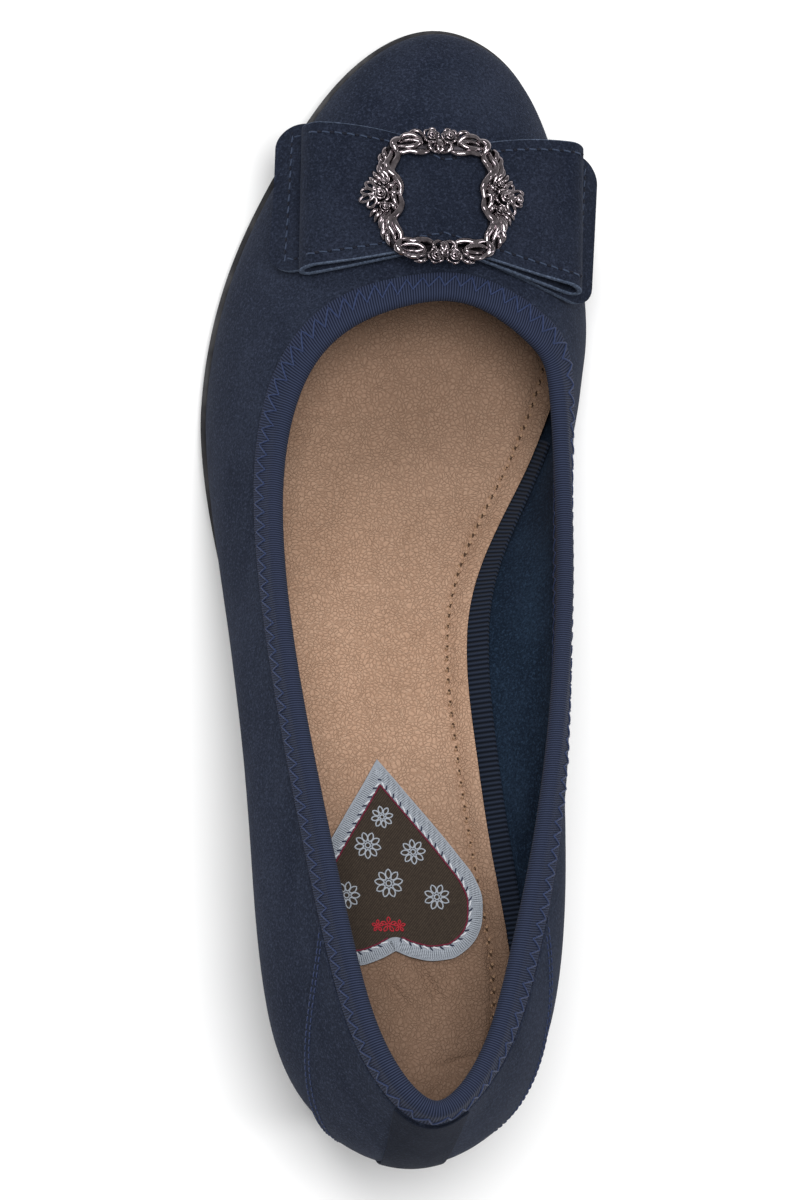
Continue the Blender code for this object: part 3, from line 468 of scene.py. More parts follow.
def vamp_frame(turn):
    """A frame on the vamp under the bow: X across the shoe, Y towards the toe, Z out of the leather.

    It is lifted until the tails' curve clears the vamp and its binding.
    """
    u, v = np.meshgrid(np.linspace(0.3, 0.7, 161), np.linspace(0.2, 1, 161))
    points = wall_middle(u, v)
    wanted = np.array([BOW_ACROSS * BALL_WIDTH, BOW_ALONG * LENGTH])
    near = np.unravel_index(np.argmin(np.linalg.norm(points[..., :2] - wanted, axis=-1)), u.shape)
    out = Vector(wall_normal(u[near], v[near]))
    out.x = 0
    out.normalize()
    side = Matrix.Rotation(math.radians(turn), 3, out) @ Vector((1, 0, 0))
    frame = Matrix((side, out.cross(side), out)).transposed().to_4x4()
    frame.translation = Vector(points[near])
    bound = np.linalg.norm(points - wall_middle(u, 1), axis=-1) < BINDING_OUTSIDE
    surface = points + wall_normal(u, v) * (bound * (CLEARANCE + BINDING_THICKNESS))[..., None]
    local = (surface.reshape(-1, 3) - points[near]) @ np.array(frame.to_3x3())
    half = TAIL_LENGTH / 2
    x, y = local[:, 0] - TAIL_SIDE, local[:, 1] - TAIL_UP
    under = np.abs(x) < half
    under &= np.abs(y) < bow_height(x, half, BOW_MIDDLE_HEIGHT, TAIL_END_HEIGHT) / 2
    lift = (local[:, 2] + TAIL_DROP * (x / half) ** 2)[under].max()
    frame.translation += out * float(lift)
    return frame


def bow_height(x, half, middle, end):
    """Height of a band of the bow, pinched in the middle."""
    share = np.clip(np.abs(x) / half, 0, 1)
    return middle + (end - middle) * (1 - (1 - share) ** PINCH)


def bow_levels():
    """Heights above the vamp at the bow's middle: tails, loops' lower and upper layer, and their top."""
    tails = CLEARANCE
    loops = tails + LEATHER + CLEARANCE
    return tails, loops, loops + LEATHER + CLEARANCE, loops + 2 * LEATHER + CLEARANCE


def layer_opening(x):
    """How far the loops' upper layer has left the lower one, growing from the middle to the folds."""
    straight = BOW_LENGTH / 2 - LOOP_GAP / 2 - LEATHER
    return (LOOP_GAP - CLEARANCE) * np.clip(np.abs(x) / straight, 0, 1) ** LOOP_CURVE


def rounded_box(width, height, corner, angle):
    """The point at an angle on a rectangle with round corners."""
    c, s = math.cos(angle), math.sin(angle)
    low, high = 0.0, max(width, height)
    for _ in range(40):
        r = (low + high) / 2
        dx = max(abs(c) * r - (width / 2 - corner), 0)
        dy = max(abs(s) * r - (height / 2 - corner), 0)
        if math.hypot(dx, dy) < corner:
            low = r
        else:
            high = r
    return r * c, r * s


def shoe_middle():
    """Where the row's origin lies in the frame of the tables."""
    edge = lasting_edge(SOLE_MARGIN)
    low, high = (np.array(corner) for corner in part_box("outsole"))
    across, along = (edge.max(axis=0) + edge.min(axis=0) - low[:2] - high[:2]) / 2
    return np.array([across, along, 0.0])


MIDDLE = shoe_middle()


# Working with pieces
def only(piece):
    """Makes piece the one selected and active object."""
    bpy.ops.object.select_all(action="DESELECT")
    piece.select_set(True)
    bpy.context.view_layer.objects.active = piece


def apply_all(piece):
    """Applies every modifier of piece."""
    only(piece)
    for modifier in list(piece.modifiers):
        bpy.ops.object.modifier_apply(modifier=modifier.name)


def in_edit_mode(piece, *steps):
    """Runs steps in edit mode with all of piece selected."""
    only(piece)
    bpy.ops.object.mode_set(mode="EDIT")
    bpy.ops.mesh.select_all(action="SELECT")
    for step in steps:
        step()
    bpy.ops.object.mode_set(mode="OBJECT")


def points_of(piece):
    """The vertices of piece as rows of x, y and z."""
    found = np.empty(len(piece.data.vertices) * 3)
    piece.data.vertices.foreach_get("co", found)
    return found.reshape(-1, 3)


def move_points(piece, points):
    """Puts the vertices of piece at points."""
    piece.data.vertices.foreach_set("co", np.asarray(points, float).ravel())
    piece.data.update()


def wrap_grid(name, columns, rows, place, closed=False, flip=False):
    """A grid laid over a surface: place turns shares along and across into points of the shoe's frame."""
    bpy.ops.object.select_all(action="DESELECT")
    bpy.ops.mesh.primitive_grid_add(x_subdivisions=columns, y_subdivisions=rows, size=1.0)
    piece = bpy.context.object
    piece.name = piece.data.name = name
    flat = points_of(piece)
    move_points(piece, place(flat[:, 0] + 0.5, flat[:, 1] + 0.5) - MIDDLE)
    if closed:
        in_edit_mode(piece, lambda: bpy.ops.mesh.remove_doubles(threshold=1e-6))
    if flip:
        in_edit_mode(piece, bpy.ops.mesh.flip_normals)
    return piece


def thicken(piece, thickness, outward=True, inner_slot=0, rim_slot=0):
    """Gives a sheet its thickness, out of or into the face it shows."""
    wall = piece.modifiers.new("thickness", "SOLIDIFY")
    wall.thickness = thickness
    wall.offset = 1 if outward else -1
    wall.use_even_offset = True
    wall.material_offset = inner_slot
    wall.material_offset_rim = rim_slot
    apply_all(piece)


def empty_slots(piece, count):
    """Gives piece its material slots before a modifier picks one of them."""
    for _ in range(count):
        piece.data.materials.append(None)


def round_edges(piece, width, segments=2, angle=50, slot=-1):
    """Rounds the sharp edges of piece; slot is the material of the rounding, -1 for its neighbours'."""
    bevel = piece.modifiers.new("edge", "BEVEL")
    bevel.width = width
    bevel.segments = segments
    bevel.limit_method = "ANGLE"
    bevel.angle_limit = math.radians(angle)
    bevel.material = slot
    apply_all(piece)


def smooth(piece, angle=50):
    """Shades piece smooth but for edges sharper than angle."""
    only(piece)
    bpy.ops.object.shade_smooth_by_angle(angle=math.radians(angle))


def fine_copy(node, name, levels, sharp=35):
    """A subdivided copy of a CAD node that keeps its sharp edges."""
    mesh = frame["nodes"][node].data.copy()
    mesh.materials.clear()
    piece = bpy.data.objects.new(name, mesh)
    bpy.context.scene.collection.objects.link(piece)
    only(piece)
    bpy.ops.object.mode_set(mode="EDIT")
    bpy.ops.mesh.select_all(action="SELECT")
    bpy.ops.mesh.remove_doubles(threshold=2e-6)
    bpy.ops.mesh.tris_convert_to_quads(face_threshold=math.radians(60), shape_threshold=math.radians(120))
    bpy.ops.mesh.select_all(action="DESELECT")
    bpy.ops.mesh.select_mode(type="EDGE")
    bpy.ops.mesh.edges_select_sharp(sharpness=math.radians(sharp))
    bpy.ops.transform.edge_crease(value=1.0)
    bpy.ops.mesh.select_mode(type="VERT")
    bpy.ops.object.mode_set(mode="OBJECT")
    finer = piece.modifiers.new("finer", "SUBSURF")
    finer.levels = finer.render_levels = levels
    apply_all(piece)
    smooth(piece, 45)
    return piece


def finish(piece, materials, replaced=()):
    """Gives piece its materials, its body and the nodes it stands for."""
    for k, made in enumerate(materials):
        if k < len(piece.data.materials):
            piece.data.materials[k] = made
        else:
            piece.data.materials.append(made)
    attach(piece, "root")
    if replaced:
        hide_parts(*replaced)
    return piece


def strands(name, rows, sides, closed=False):
    """Round strands as one mesh, from rows of points in the row frame and of their radii."""
    curve = bpy.data.curves.new(name, "CURVE")
    curve.dimensions = "3D"
    curve.bevel_depth = 1.0
    curve.bevel_resolution = sides
    curve.use_fill_caps = True
    for line, radii in rows:
        spline = curve.splines.new("POLY")
        spline.points.add(len(line) - 1)
        spline.points.foreach_set("co", np.c_[line, np.ones(len(line))].ravel())
        spline.points.foreach_set("radius", np.broadcast_to(radii, len(line)).astype(float))
        spline.use_cyclic_u = closed
    piece = bpy.data.objects.new(name, curve)
    bpy.context.scene.collection.objects.link(piece)
    only(piece)
    bpy.ops.object.convert(target="MESH")
    piece = bpy.context.object
    piece.name = piece.data.name = name
    bpy.ops.object.shade_smooth()
    return piece


def sew(name, lines, radius, made, closed=False):
    """Threads along lines as a finished piece."""
    return finish(strands(name, [(line, radius) for line in lines], 1, closed), [made])


def stitches(path, normals, pitch, share=0.72, lift=0.14 * MM, lean=0.0, shift=0.0):
    """Lines for a row of stitches along a path: each rises out of the surface and dips back into it."""
    path, normals = np.asarray(path), np.asarray(normals)
    gone = gone_along(path)
    count = max(1, int(gone[-1] / pitch))
    lines = []
    for start in (np.arange(count) + 0.5 + shift) * gone[-1] / count:
        at = start + np.array([-0.5, -0.36, 0.0, 0.36, 0.5]) * pitch * share
        line = np.stack([np.interp(at, gone, path[:, k]) for k in range(3)], axis=1)
        out = np.stack([np.interp(at, gone, normals[:, k]) for k in range(3)], axis=1)
        side = np.cross(line[-1] - line[0], out[2])
        side /= max(np.linalg.norm(side), 1e-9)
        line += side * np.array([-1, -0.7, 0, 0.7, 1])[:, None] * lean
        lines.append(line + out * np.array([-1.6, 0.7, 1, 0.7, -1.6])[:, None] * lift)
    return lines


def on_surface(piece, places, lift=0.0):
    """Points and normals where lines dropped from above at places meet piece."""
    bpy.context.view_layer.update()
    points, normals = [], []
    for x, y in places:
        hit, point, normal, _ = piece.ray_cast(Vector((x, y, 0.3)), Vector((0, 0, -1)))
        if hit:
            points.append(np.array(point) + np.array(normal) * lift)
            normals.append(np.array(normal))
    return np.array(points), np.array(normals)


def smooth_noise(points, size, seed):
    """Soft noise between -1 and 1 with features of about size, the same on every run."""
    scaled = Vector((seed * 7.3, seed * 3.1, seed * 5.7))
    from_points = [noise.noise(Vector(p) / size + scaled) for p in points]
    return np.array(from_points)


# Materials
class Shader:
    """A short way to build the node tree of one material."""

    def __init__(self, name, colour, roughness, **constants):
        self.material = bpy.data.materials.new(name)
        self.material.use_nodes = True
        self.tree = self.material.node_tree
        self.shader = self.tree.nodes["Principled BSDF"]
        self.shader.inputs["Base Color"].default_value = (*colour, 1)
        self.shader.inputs["Roughness"].default_value = roughness
        for name_of, value in constants.items():
            self.shader.inputs[name_of.replace("_", " ")].default_value = value

    def node(self, kind, **settings):
        made = self.tree.nodes.new(kind)
        for key, value in settings.items():
            if key in made.inputs:
                made.inputs[key].default_value = value
            else:
                setattr(made, key, value)
        return made

    def link(self, start, end):
        self.tree.links.new(start, end)

    def coordinates(self, kind="Object", scale=(1, 1, 1), turn=0.0):
        where = self.node("ShaderNodeTexCoord")
        mapping = self.node("ShaderNodeMapping")
        mapping.inputs["Scale"].default_value = scale
        mapping.inputs["Rotation"].default_value = (0, 0, turn)
        self.link(where.outputs[kind], mapping.inputs["Vector"])
        return mapping.outputs["Vector"]

    def noise(self, where, scale, detail=3.0, roughness=0.55):
        made = self.node("ShaderNodeTexNoise", Scale=scale, Detail=detail, Roughness=roughness)
        self.link(where, made.inputs["Vector"])
        return made.outputs["Fac"]

    def wave(self, where, scale, direction="X", profile="SIN"):
        made = self.node("ShaderNodeTexWave", Scale=scale, Distortion=0.0)
        made.bands_direction = direction
        made.wave_profile = profile
        self.link(where, made.inputs["Vector"])
        return made.outputs["Fac"]

    def ramp(self, value, low, high, low_value=0.0, high_value=1.0):
        made = self.node("ShaderNodeMapRange")
        made.inputs["From Min"].default_value = low
        made.inputs["From Max"].default_value = high
        made.inputs["To Min"].default_value = low_value
        made.inputs["To Max"].default_value = high_value
        self.link(value, made.inputs["Value"])
        return made.outputs["Result"]

    def mix(self, factor, first, second):
        """Colour mix; first and second are colours or sockets."""
        made = self.node("ShaderNodeMix", data_type="RGBA")
        self.link(factor, made.inputs[0])
        for socket, value in ((made.inputs[6], first), (made.inputs[7], second)):
            if isinstance(value, tuple):
                socket.default_value = (*value, 1)
            else:
                self.link(value, socket)
        return made.outputs[2]

    def maths(self, operation, first, second):
        made = self.node("ShaderNodeMath", operation=operation)
        for socket, value in ((made.inputs[0], first), (made.inputs[1], second)):
            if isinstance(value, (int, float)):
                socket.default_value = value
            else:
                self.link(value, socket)
        return made.outputs[0]

    def colour(self, socket):
        self.link(socket, self.shader.inputs["Base Color"])

    def rough(self, socket):
        self.link(socket, self.shader.inputs["Roughness"])

    def bump(self, heights):
        """Bumps from (height, strength, distance) rows, one on the other."""
        before = None
        for height, strength, distance in heights:
            made = self.node("ShaderNodeBump", Strength=strength, Distance=distance)
            self.link(height, made.inputs["Height"])
            if before:
                self.link(before, made.inputs["Normal"])
            before = made.outputs["Normal"]
        self.link(before, self.shader.inputs["Normal"])


def suede(name, dark, light, nap=1.0):
    """Brushed suede: nap that lies this way and that, fine fibres and a faint sheen."""
    made = Shader(
        name, dark, 0.94, Specular_IOR_Level=0.06, Sheen_Weight=0.035, Sheen_Roughness=0.5,
        Sheen_Tint=(0.55, 0.62, 0.85, 1),
    )
    where = made.coordinates()
    brushed = made.noise(made.coordinates(scale=(1, 0.4, 1), turn=0.35), 95.0, 5.0, 0.62)
    clouds = made.noise(where, 26.0, 3.0)
    fibres = made.noise(where, 2400.0, 2.0, 0.75)
    specks = made.noise(where, 1650.0, 3.0, 0.7)
    tone = made.maths("ADD", made.maths("MULTIPLY", brushed, 0.6), made.maths("MULTIPLY", clouds, 0.4))
    body = made.mix(made.ramp(tone, 0.38, 0.62), dark, light)
    darker = tuple(c * 0.45 for c in dark)
    lighter = tuple(c * 1.7 for c in light)
    body = made.mix(made.ramp(fibres, 0.40, 0.62, 0.0, 0.62), body, darker)
    made.colour(made.mix(made.ramp(specks, 0.50, 0.72, 0.0, 0.85), body, lighter))
    made.rough(made.ramp(tone, 0.3, 0.7, 0.97, 0.88))
    made.bump([
        (tone, 0.35, 0.5 * MM),
        (specks, 0.45 * nap, 0.25 * MM),
        (fibres, 0.5 * nap, 0.12 * MM),
    ])
    return made.material


def ribbed(name, dark, light, pitch_count, strength):
    """Ribbed narrow cloth: ribs across the length of the piece's own UV map."""
    made = Shader(name, dark, 0.86, Specular_IOR_Level=0.08, Sheen_Weight=0.03, Sheen_Roughness=0.5)
    where = made.coordinates("UV", (pitch_count, 1, 1))
    separate = made.node("ShaderNodeSeparateXYZ")
    made.link(where, separate.inputs[0])
    turn = made.maths("MULTIPLY", separate.outputs[0], 2 * math.pi)
    rib = made.ramp(made.maths("SINE", turn, 0.0), -1.0, 1.0)
    fuzz = made.noise(made.coordinates(), 2200.0, 2.0)
    made.colour(made.mix(rib, dark, light))
    made.bump([(rib, strength, 0.30 * MM), (fuzz, 0.2, 0.1 * MM)])
    return made.material


def thread_finish(name, dark, light):
    """Twisted sewing thread."""
    made = Shader(name, light, 0.6, Specular_IOR_Level=0.2, Sheen_Weight=0.02)
    where = made.coordinates()
    made.colour(made.mix(made.noise(where, 1500.0), dark, light))
    made.bump([(made.wave(made.coordinates(turn=0.7), 900.0, "X"), 0.5, 0.08 * MM)])
    return made.material


def insole_leather():
    """Tan leather: pebbled grain, fine wrinkles, a mottled tone, and painted shade towards the toe under
    the vamp and at the heel between its walls.
    """
    made = Shader("tan_leather", (0.43, 0.262, 0.172), 0.60, Specular_IOR_Level=0.10)
    where = made.coordinates()
    cells = made.node("ShaderNodeTexVoronoi", Scale=1150.0, Randomness=1.0)
    cells.feature = "DISTANCE_TO_EDGE"
    warp = made.node("ShaderNodeTexNoise", Scale=230.0, Detail=4.0)
    made.link(where, warp.inputs["Vector"])
    bent = made.node("ShaderNodeVectorMath")
    bent.operation = "MULTIPLY_ADD"
    bent.inputs[1].default_value = (GRAIN_WARP, GRAIN_WARP, GRAIN_WARP)
    made.link(warp.outputs["Color"], bent.inputs[0])
    made.link(where, bent.inputs[2])
    made.link(bent.outputs[0], cells.inputs["Vector"])
    pebble = made.ramp(cells.outputs["Distance"], 0.0, 0.17)
    clouds = made.noise(where, 24.0, 4.0)
    wrinkles = made.noise(made.coordinates(scale=(1.0, 0.4, 1.0), turn=0.6), 210.0, 4.0, 0.6)
    fine = made.noise(where, 1500.0, 3.0)
    tone = made.mix(made.ramp(clouds, 0.30, 0.72), (0.442, 0.273, 0.183), (0.508, 0.328, 0.229))
    tone = made.mix(made.ramp(pebble, 0.0, 1.0, 0.42, 0.0), tone, (0.220, 0.124, 0.076))
    tone = made.mix(made.ramp(fine, 0.48, 0.70, 0.0, 0.42), tone, (0.580, 0.400, 0.285))
    tone = made.mix(made.ramp(wrinkles, 0.56, 0.76, 0.0, 0.30), tone, (0.235, 0.130, 0.078))
    place = made.node("ShaderNodeSeparateXYZ")
    made.link(where, place.inputs[0])
    # Painted shade: the leather is darkened towards the toe under the vamp and towards the heel between
    # the counter walls
    for start, end, most in SOCK_PAINTED_SHADE:
        tone = made.mix(made.ramp(place.outputs[1], start, end, 0.0, most), tone, (0.158, 0.097, 0.066))
    made.colour(tone)
    made.rough(made.ramp(fine, 0.3, 0.7, 0.72, 0.58))
    made.bump([(wrinkles, 0.60, 0.6 * MM), (pebble, 0.80, 0.17 * MM), (fine, 0.5, 0.10 * MM)])
    return made.material


def gunmetal(name, dark, light, rough):
    """Polished dark metal with a few dull marks."""
    made = Shader(name, light, rough, Metallic=1.0)
    marks = made.noise(made.coordinates(), 900.0, 3.0)
    made.colour(made.mix(made.ramp(marks, 0.35, 0.65), dark, light))
    made.rough(made.ramp(marks, 0.3, 0.7, rough * 0.7, rough * 1.6))
    made.bump([(marks, 0.10, 0.08 * MM)])
    return made.material


def rubber(name, dark, light, tread=False):
    """Moulded rubber, with a fine tread where it meets the floor."""
    made = Shader(name, dark, 0.6, Specular_IOR_Level=0.3)
    where = made.coordinates()
    scuffs = made.noise(where, 130.0, 5.0)
    made.colour(made.mix(made.ramp(scuffs, 0.4, 0.7), dark, light))
    made.rough(made.ramp(scuffs, 0.3, 0.7, 0.7, 0.48))
    heights = [(made.noise(where, 900.0), 0.2, 0.15 * MM)]
    if tread:
        grooves = made.wave(made.coordinates(turn=math.radians(45)), 120.0, "DIAGONAL")
        heights.insert(0, (grooves, 0.4, 0.4 * MM))
    made.bump(heights)
    return made.material


def patch_cloth():
    """Brown twill inside a grey border, by the distance from the heart's edge."""
    made = Shader(
        "patch_cloth", (0.04, 0.03, 0.02), 0.75, Specular_IOR_Level=0.12, Sheen_Weight=0.03
    )
    edge = made.node("ShaderNodeAttribute", attribute_name="edge_distance")
    where = made.coordinates()
    twill = made.wave(made.coordinates(turn=math.radians(38)), 700.0, "X")
    fuzz = made.noise(where, 1800.0, 2.0)
    field = made.mix(twill, (0.030, 0.022, 0.016), (0.060, 0.044, 0.032))
    field = made.mix(made.ramp(fuzz, 0.35, 0.7, 0.0, 0.5), field, (0.018, 0.012, 0.010))
    border = made.mix(fuzz, (0.20, 0.225, 0.26), (0.36, 0.385, 0.43))
    inside = made.ramp(edge.outputs["Fac"], PATCH_BORDER - 0.05 * MM, PATCH_BORDER + 0.05 * MM)
    made.colour(made.mix(inside, border, field))
    made.bump([(twill, 0.35, 0.15 * MM), (fuzz, 0.3, 0.12 * MM)])
    return made.material


def plain_floor():
    """Matt white paper."""
    made = Shader("studio_floor", (0.93, 0.93, 0.93), 0.9, Specular_IOR_Level=0.1)
    clouds = made.noise(made.coordinates(), 40.0)
    made.colour(made.mix(clouds, (0.945, 0.945, 0.945), (0.955, 0.955, 0.955)))
    return made.material


def colour_setting(name, description, default):
    """A colour in the sidebar."""
    return bpy.props.FloatVectorProperty(
        name=name, description=description, subtype="COLOR", default=default
    )


def length_setting(name, description, default):
    """A length in the sidebar."""
    return bpy.props.FloatProperty(name=name, description=description, unit="LENGTH", default=default)


class PumpColours(bpy.types.PropertyGroup):
    """Colours that a user would change."""

    suede_dark: colour_setting("Suede", "Suede where the nap lies flat", (0.0115, 0.0155, 0.0285))
    suede_light: colour_setting("Suede, raised", "Suede where the nap stands", (0.0225, 0.0285, 0.0475))
    thread: colour_setting("Thread", "Zigzag and panel stitching", (0.032, 0.050, 0.125))


class PumpSizes(bpy.types.PropertyGroup):
    """Sizes that a user would change."""

    zigzag_pitch: length_setting("Zigzag pitch", "One zig and zag on the topline", ZIGZAG_PITCH)
    stitch_length: length_setting("Stitch length", "One stitch on bow and insole", STITCH)
    thread_radius: length_setting("Thread radius", "Half the thickness of the zigzag's thread", THREAD)


def navy(name="navy_suede", factor=1.0):
    """The pump's suede, made once for each name."""
    if name in bpy.data.materials:
        return bpy.data.materials[name]
    colours = bpy.context.scene.pump_colours
    dark = tuple(c * factor for c in colours.suede_dark)
    light = tuple(c * factor for c in colours.suede_light)
    return suede(name, dark, light)


def navy_thread():
    """The thread of topline and bow, made once."""
    if "navy_thread" in bpy.data.materials:
        return bpy.data.materials["navy_thread"]
    light = tuple(bpy.context.scene.pump_colours.thread)
    return thread_finish("navy_thread", tuple(c * 0.5 for c in light), light)


# The wall
def toe_creases(u, v):
    """Height of the upper's soft folds: the pull of the elastic and a break over the toes."""
    gathers = np.sin(u * GIRTH / (5.2 * MM) * 2 * math.pi + 2 * np.sin(u * 90))
    pull = 0.16 * MM * gathers * np.exp(-((1 - v) / 0.16) ** 2)
    fold = 0
    for centre, level, width, depth in UPPER_FOLDS:
        fold = fold + depth * MM * np.exp(-(((u - centre) / width) ** 2) - (((v - level) / 0.28) ** 2))
    return pull + fold


def dress_upper():
    """The suede wall with its lining."""
    def place(s, t):
        v = 1 - (1 - t) ** 1.1
        return wall_point(s, v, toe_creases(s, v))

    piece = wrap_grid("suede_upper", 420, 44, place, closed=True, flip=True)
    empty_slots(piece, 2)
    thicken(piece, WALL, outward=False, inner_slot=1, rim_slot=0)
    smooth(piece, 50)
    lining = suede("lining_suede", (0.006, 0.012, 0.024), (0.016, 0.030, 0.054), nap=0.8)
    return finish(piece, [navy(), lining], ["upper"])


def dress_binding():
    """The ribbed elastic over the topline, with its zigzag on both sides."""
    leg = BINDING_OUTSIDE - BAND_SHORTER
    profile = np.array([-leg, -0.66 * leg, -0.33 * leg, 0.0, 0.25, 0.5, 0.75, 1.0, 1.5, 2.0])

    even = np.linspace(0, 1, 721)
    gone = gone_along(wall_point(even, 1.0))

    def narrowing(u):
        return 1 - THROAT_NARROWER * np.exp(-(((np.mod(u, 1.0) - 0.5) / 0.06) ** 2))

    def around(s, t, extra=0.0):
        u = np.interp(np.mod(s, 1.0) * gone[-1], gone, even)
        share = t * (len(profile) - 1)
        out = np.empty((len(s), 3))
        at = np.interp(share, np.arange(len(profile)), np.where(profile < 0, profile / leg, profile))
        outside, cap, inside = at <= 0, (at > 0) & (at < 1), at >= 1
        near = CLEARANCE + extra
        if outside.any():
            v = v_from(u[outside], -at[outside] * leg * narrowing(u[outside]), top=True)
            out[outside] = wall_point(u[outside], v, near)
        if inside.any():
            v = v_from(u[inside], (at[inside] - 1) * BINDING_INSIDE, top=True)
            out[inside] = wall_point(u[inside], v, -(WALL + near))
        if cap.any():
            edge = wall_point(u[cap], 1.0, -WALL / 2)
            across = wall_normal(u[cap], 1.0 + 0 * u[cap])
            up = wall_point(u[cap], 1.0) - wall_point(u[cap], 0.99)
            up /= np.linalg.norm(up, axis=1)[:, None]
            angle = at[cap] * math.pi
            radius = WALL / 2 + near
            out[cap] = edge + across * (np.cos(angle) * radius)[:, None]
            out[cap] += up * (np.sin(angle) * radius)[:, None]
        return out

    piece = wrap_grid("elastic_topline", 560, 18, around, closed=True, flip=True)
    thicken(piece, BINDING_THICKNESS * BINDING_DRAWN)
    round_edges(piece, 0.18 * MM)
    smooth(piece, 60)
    count = int(gone[-1] / RIB_PITCH)
    elastic = ribbed("ribbed_elastic", (0.007, 0.010, 0.022), (0.036, 0.046, 0.086), count, 0.55)
    finish(piece, [elastic], ["topline_binding"])
    random = np.random.default_rng(7)
    pitch = bpy.context.scene.pump_sizes.zigzag_pitch
    count = int(gone[-1] / pitch)
    corners = (np.arange(2 * count) + np.tile([0.0, -ZIGZAG_LEAN], count)) / (2 * count)
    places = np.interp(corners * gone[-1], gone, even)
    fine = np.linspace(0, 1, 5)[:-1]
    steps = np.diff(np.append(places, 1.0))
    u = (places[:, None] + steps[:, None] * fine).ravel()
    swing = np.concatenate([fine if i % 2 else 1 - fine for i in range(len(places))])
    loose = np.repeat(random.normal(0, 0.22 * MM, len(places) + 1), len(fine))
    loose = np.interp(np.arange(len(u)), np.arange(0, len(loose), len(fine)), loose[:: len(fine)])
    lower = INNER_LOWER * np.clip(np.sin((u - 0.5) * 2 * math.pi), 0, 1) ** 0.7
    depth = (ZIGZAG_INNER + (ZIGZAG_OUTER - ZIGZAG_INNER) * swing + loose) * narrowing(u) + lower
    lift = THREAD * (0.15 + 0.75 * np.sin(swing * math.pi) ** 0.5)
    lift += CLEARANCE + BINDING_THICKNESS * BINDING_DRAWN
    radius = bpy.context.scene.pump_sizes.thread_radius
    outside = wall_point(u, v_from(u, depth, top=True), lift) - MIDDLE
    sew("zigzag_outside", [outside], radius * ZIGZAG_THICKER, navy_thread(), closed=True)
    depth = np.minimum(depth - 0.4 * MM, BINDING_INSIDE - 0.3 * MM)
    inside = wall_point(u, v_from(u, depth, top=True), -(WALL + lift)) - MIDDLE
    sew("zigzag_inside", [inside], radius, navy_thread(), closed=True)


def panel_half(share):
    """Half width of the rear panel in u."""
    drawn = 0.98 - 0.06 * np.sin(np.asarray(share) * math.pi)
    return (PANEL_FOOT + (PANEL_TOP - PANEL_FOOT) * share**1.6) / GIRTH * drawn


def overlay_v(u, share):
    """v between an overlay's lower edge, share 0, and the binding, share 1."""
    start = v_from(u, OVERLAY_FOOT, top=False)
    end = v_from(u, BINDING_OUTSIDE - BAND_SHORTER + CLEARANCE, top=True)
    return start + (end - start) * share


def dress_rear():
    """The counter panel with its two rows of stitches, and the strip over the back seam."""
    def on_panel(s, t):
        u = (2 * s - 1) * panel_half(t)
        return wall_point(u, overlay_v(u, t), OVERLAY_GAP)

    panel = wrap_grid("rear_panel_suede", 110, 40, on_panel, flip=True)
    thicken(panel, PANEL_THICKNESS * OVERLAY_DRAWN)
    round_edges(panel, 0.2 * MM)
    smooth(panel, 60)
    finish(panel, [navy()], ["rear_panel"])
    top = OVERLAY_GAP + PANEL_THICKNESS * OVERLAY_DRAWN
    share = np.linspace(0.03, 0.99, 120)
    lines = []
    for side in (-1, 1):
        for inset in (1.0 * MM, 2.7 * MM):
            u = side * (panel_half(share) - inset / GIRTH * 1.15)
            v = overlay_v(u, share)
            path = wall_point(u, v, top) - MIDDLE
            lines += stitches(path, wall_normal(u, v), PANEL_STITCH, lift=0.12 * MM)
    sew("rear_panel_stitches", lines, THREAD * 0.9, navy_thread())

    def half(t):
        small = 1e-3
        speed = np.linalg.norm(wall_middle(small, t) - wall_middle(-small, t), axis=-1) / (2 * small)
        return STRIP_WIDTH * STRIP_HALF / speed

    def on_strip(s, t):
        u = (2 * s - 1) * half(t)
        return wall_point(u, overlay_v(u, t), top + 0.04 * MM)

    strip = wrap_grid("back_strip_suede", 16, 40, on_strip, flip=True)
    thicken(strip, STRIP_THICKNESS * OVERLAY_DRAWN)
    round_edges(strip, 0.45 * MM, 4)
    smooth(strip, 60)
    finish(strip, [navy("strip_suede", 0.50)], ["back_strip"])


def plate_shell(name, outline, low_outline, bottom, top, columns, rows):
    """A closed piece between its upper and its lower outline, as the solid is, with many more facets.

    The rows go round the section: upper face, inner edge, lower face, outer edge.
    rows is a multiple of 50.
    """
    turns = 0.0, 0.42, 0.50, 0.92, 1.0

    def place(s, t):
        share = np.interp(t, turns, (0.0, 1.0, 1.0, 0.0, 0.0))
        low = np.interp(t, turns, (0.0, 0.0, 1.0, 1.0, 0.0))[:, None]
        corners = []
        for edge, height in ((outline, top), (low_outline, bottom)):
            start, end = edge.ends
            y = (start + end) / 2 - (end - start) / 2 * np.cos(s * math.pi)
            outer, inner = edge.sides(y)
            corners.append(np.column_stack([outer + (inner - outer) * share, y, height(y, share)]))
        return corners[0] * (1 - low) + corners[1] * low

    piece = wrap_grid(name, columns, rows, place, closed=True)
    in_edit_mode(piece, bpy.ops.mesh.normals_make_consistent)
    return piece


def sole_underside(y, share=0.5):
    """The sole's lower face: thin under the waist and seat, and flat on the floor under the ball."""
    along = np.asarray(y, float) / LENGTH
    full = np.clip((along - WAIST_END) / (WAIST_START - WAIST_END), 0, 1)
    full = full * full * (3 - 2 * full)
    return bed_height(y) - WAIST_SOLE_THICKNESS - (SOLE_THICKNESS - WAIST_SOLE_THICKNESS) * full


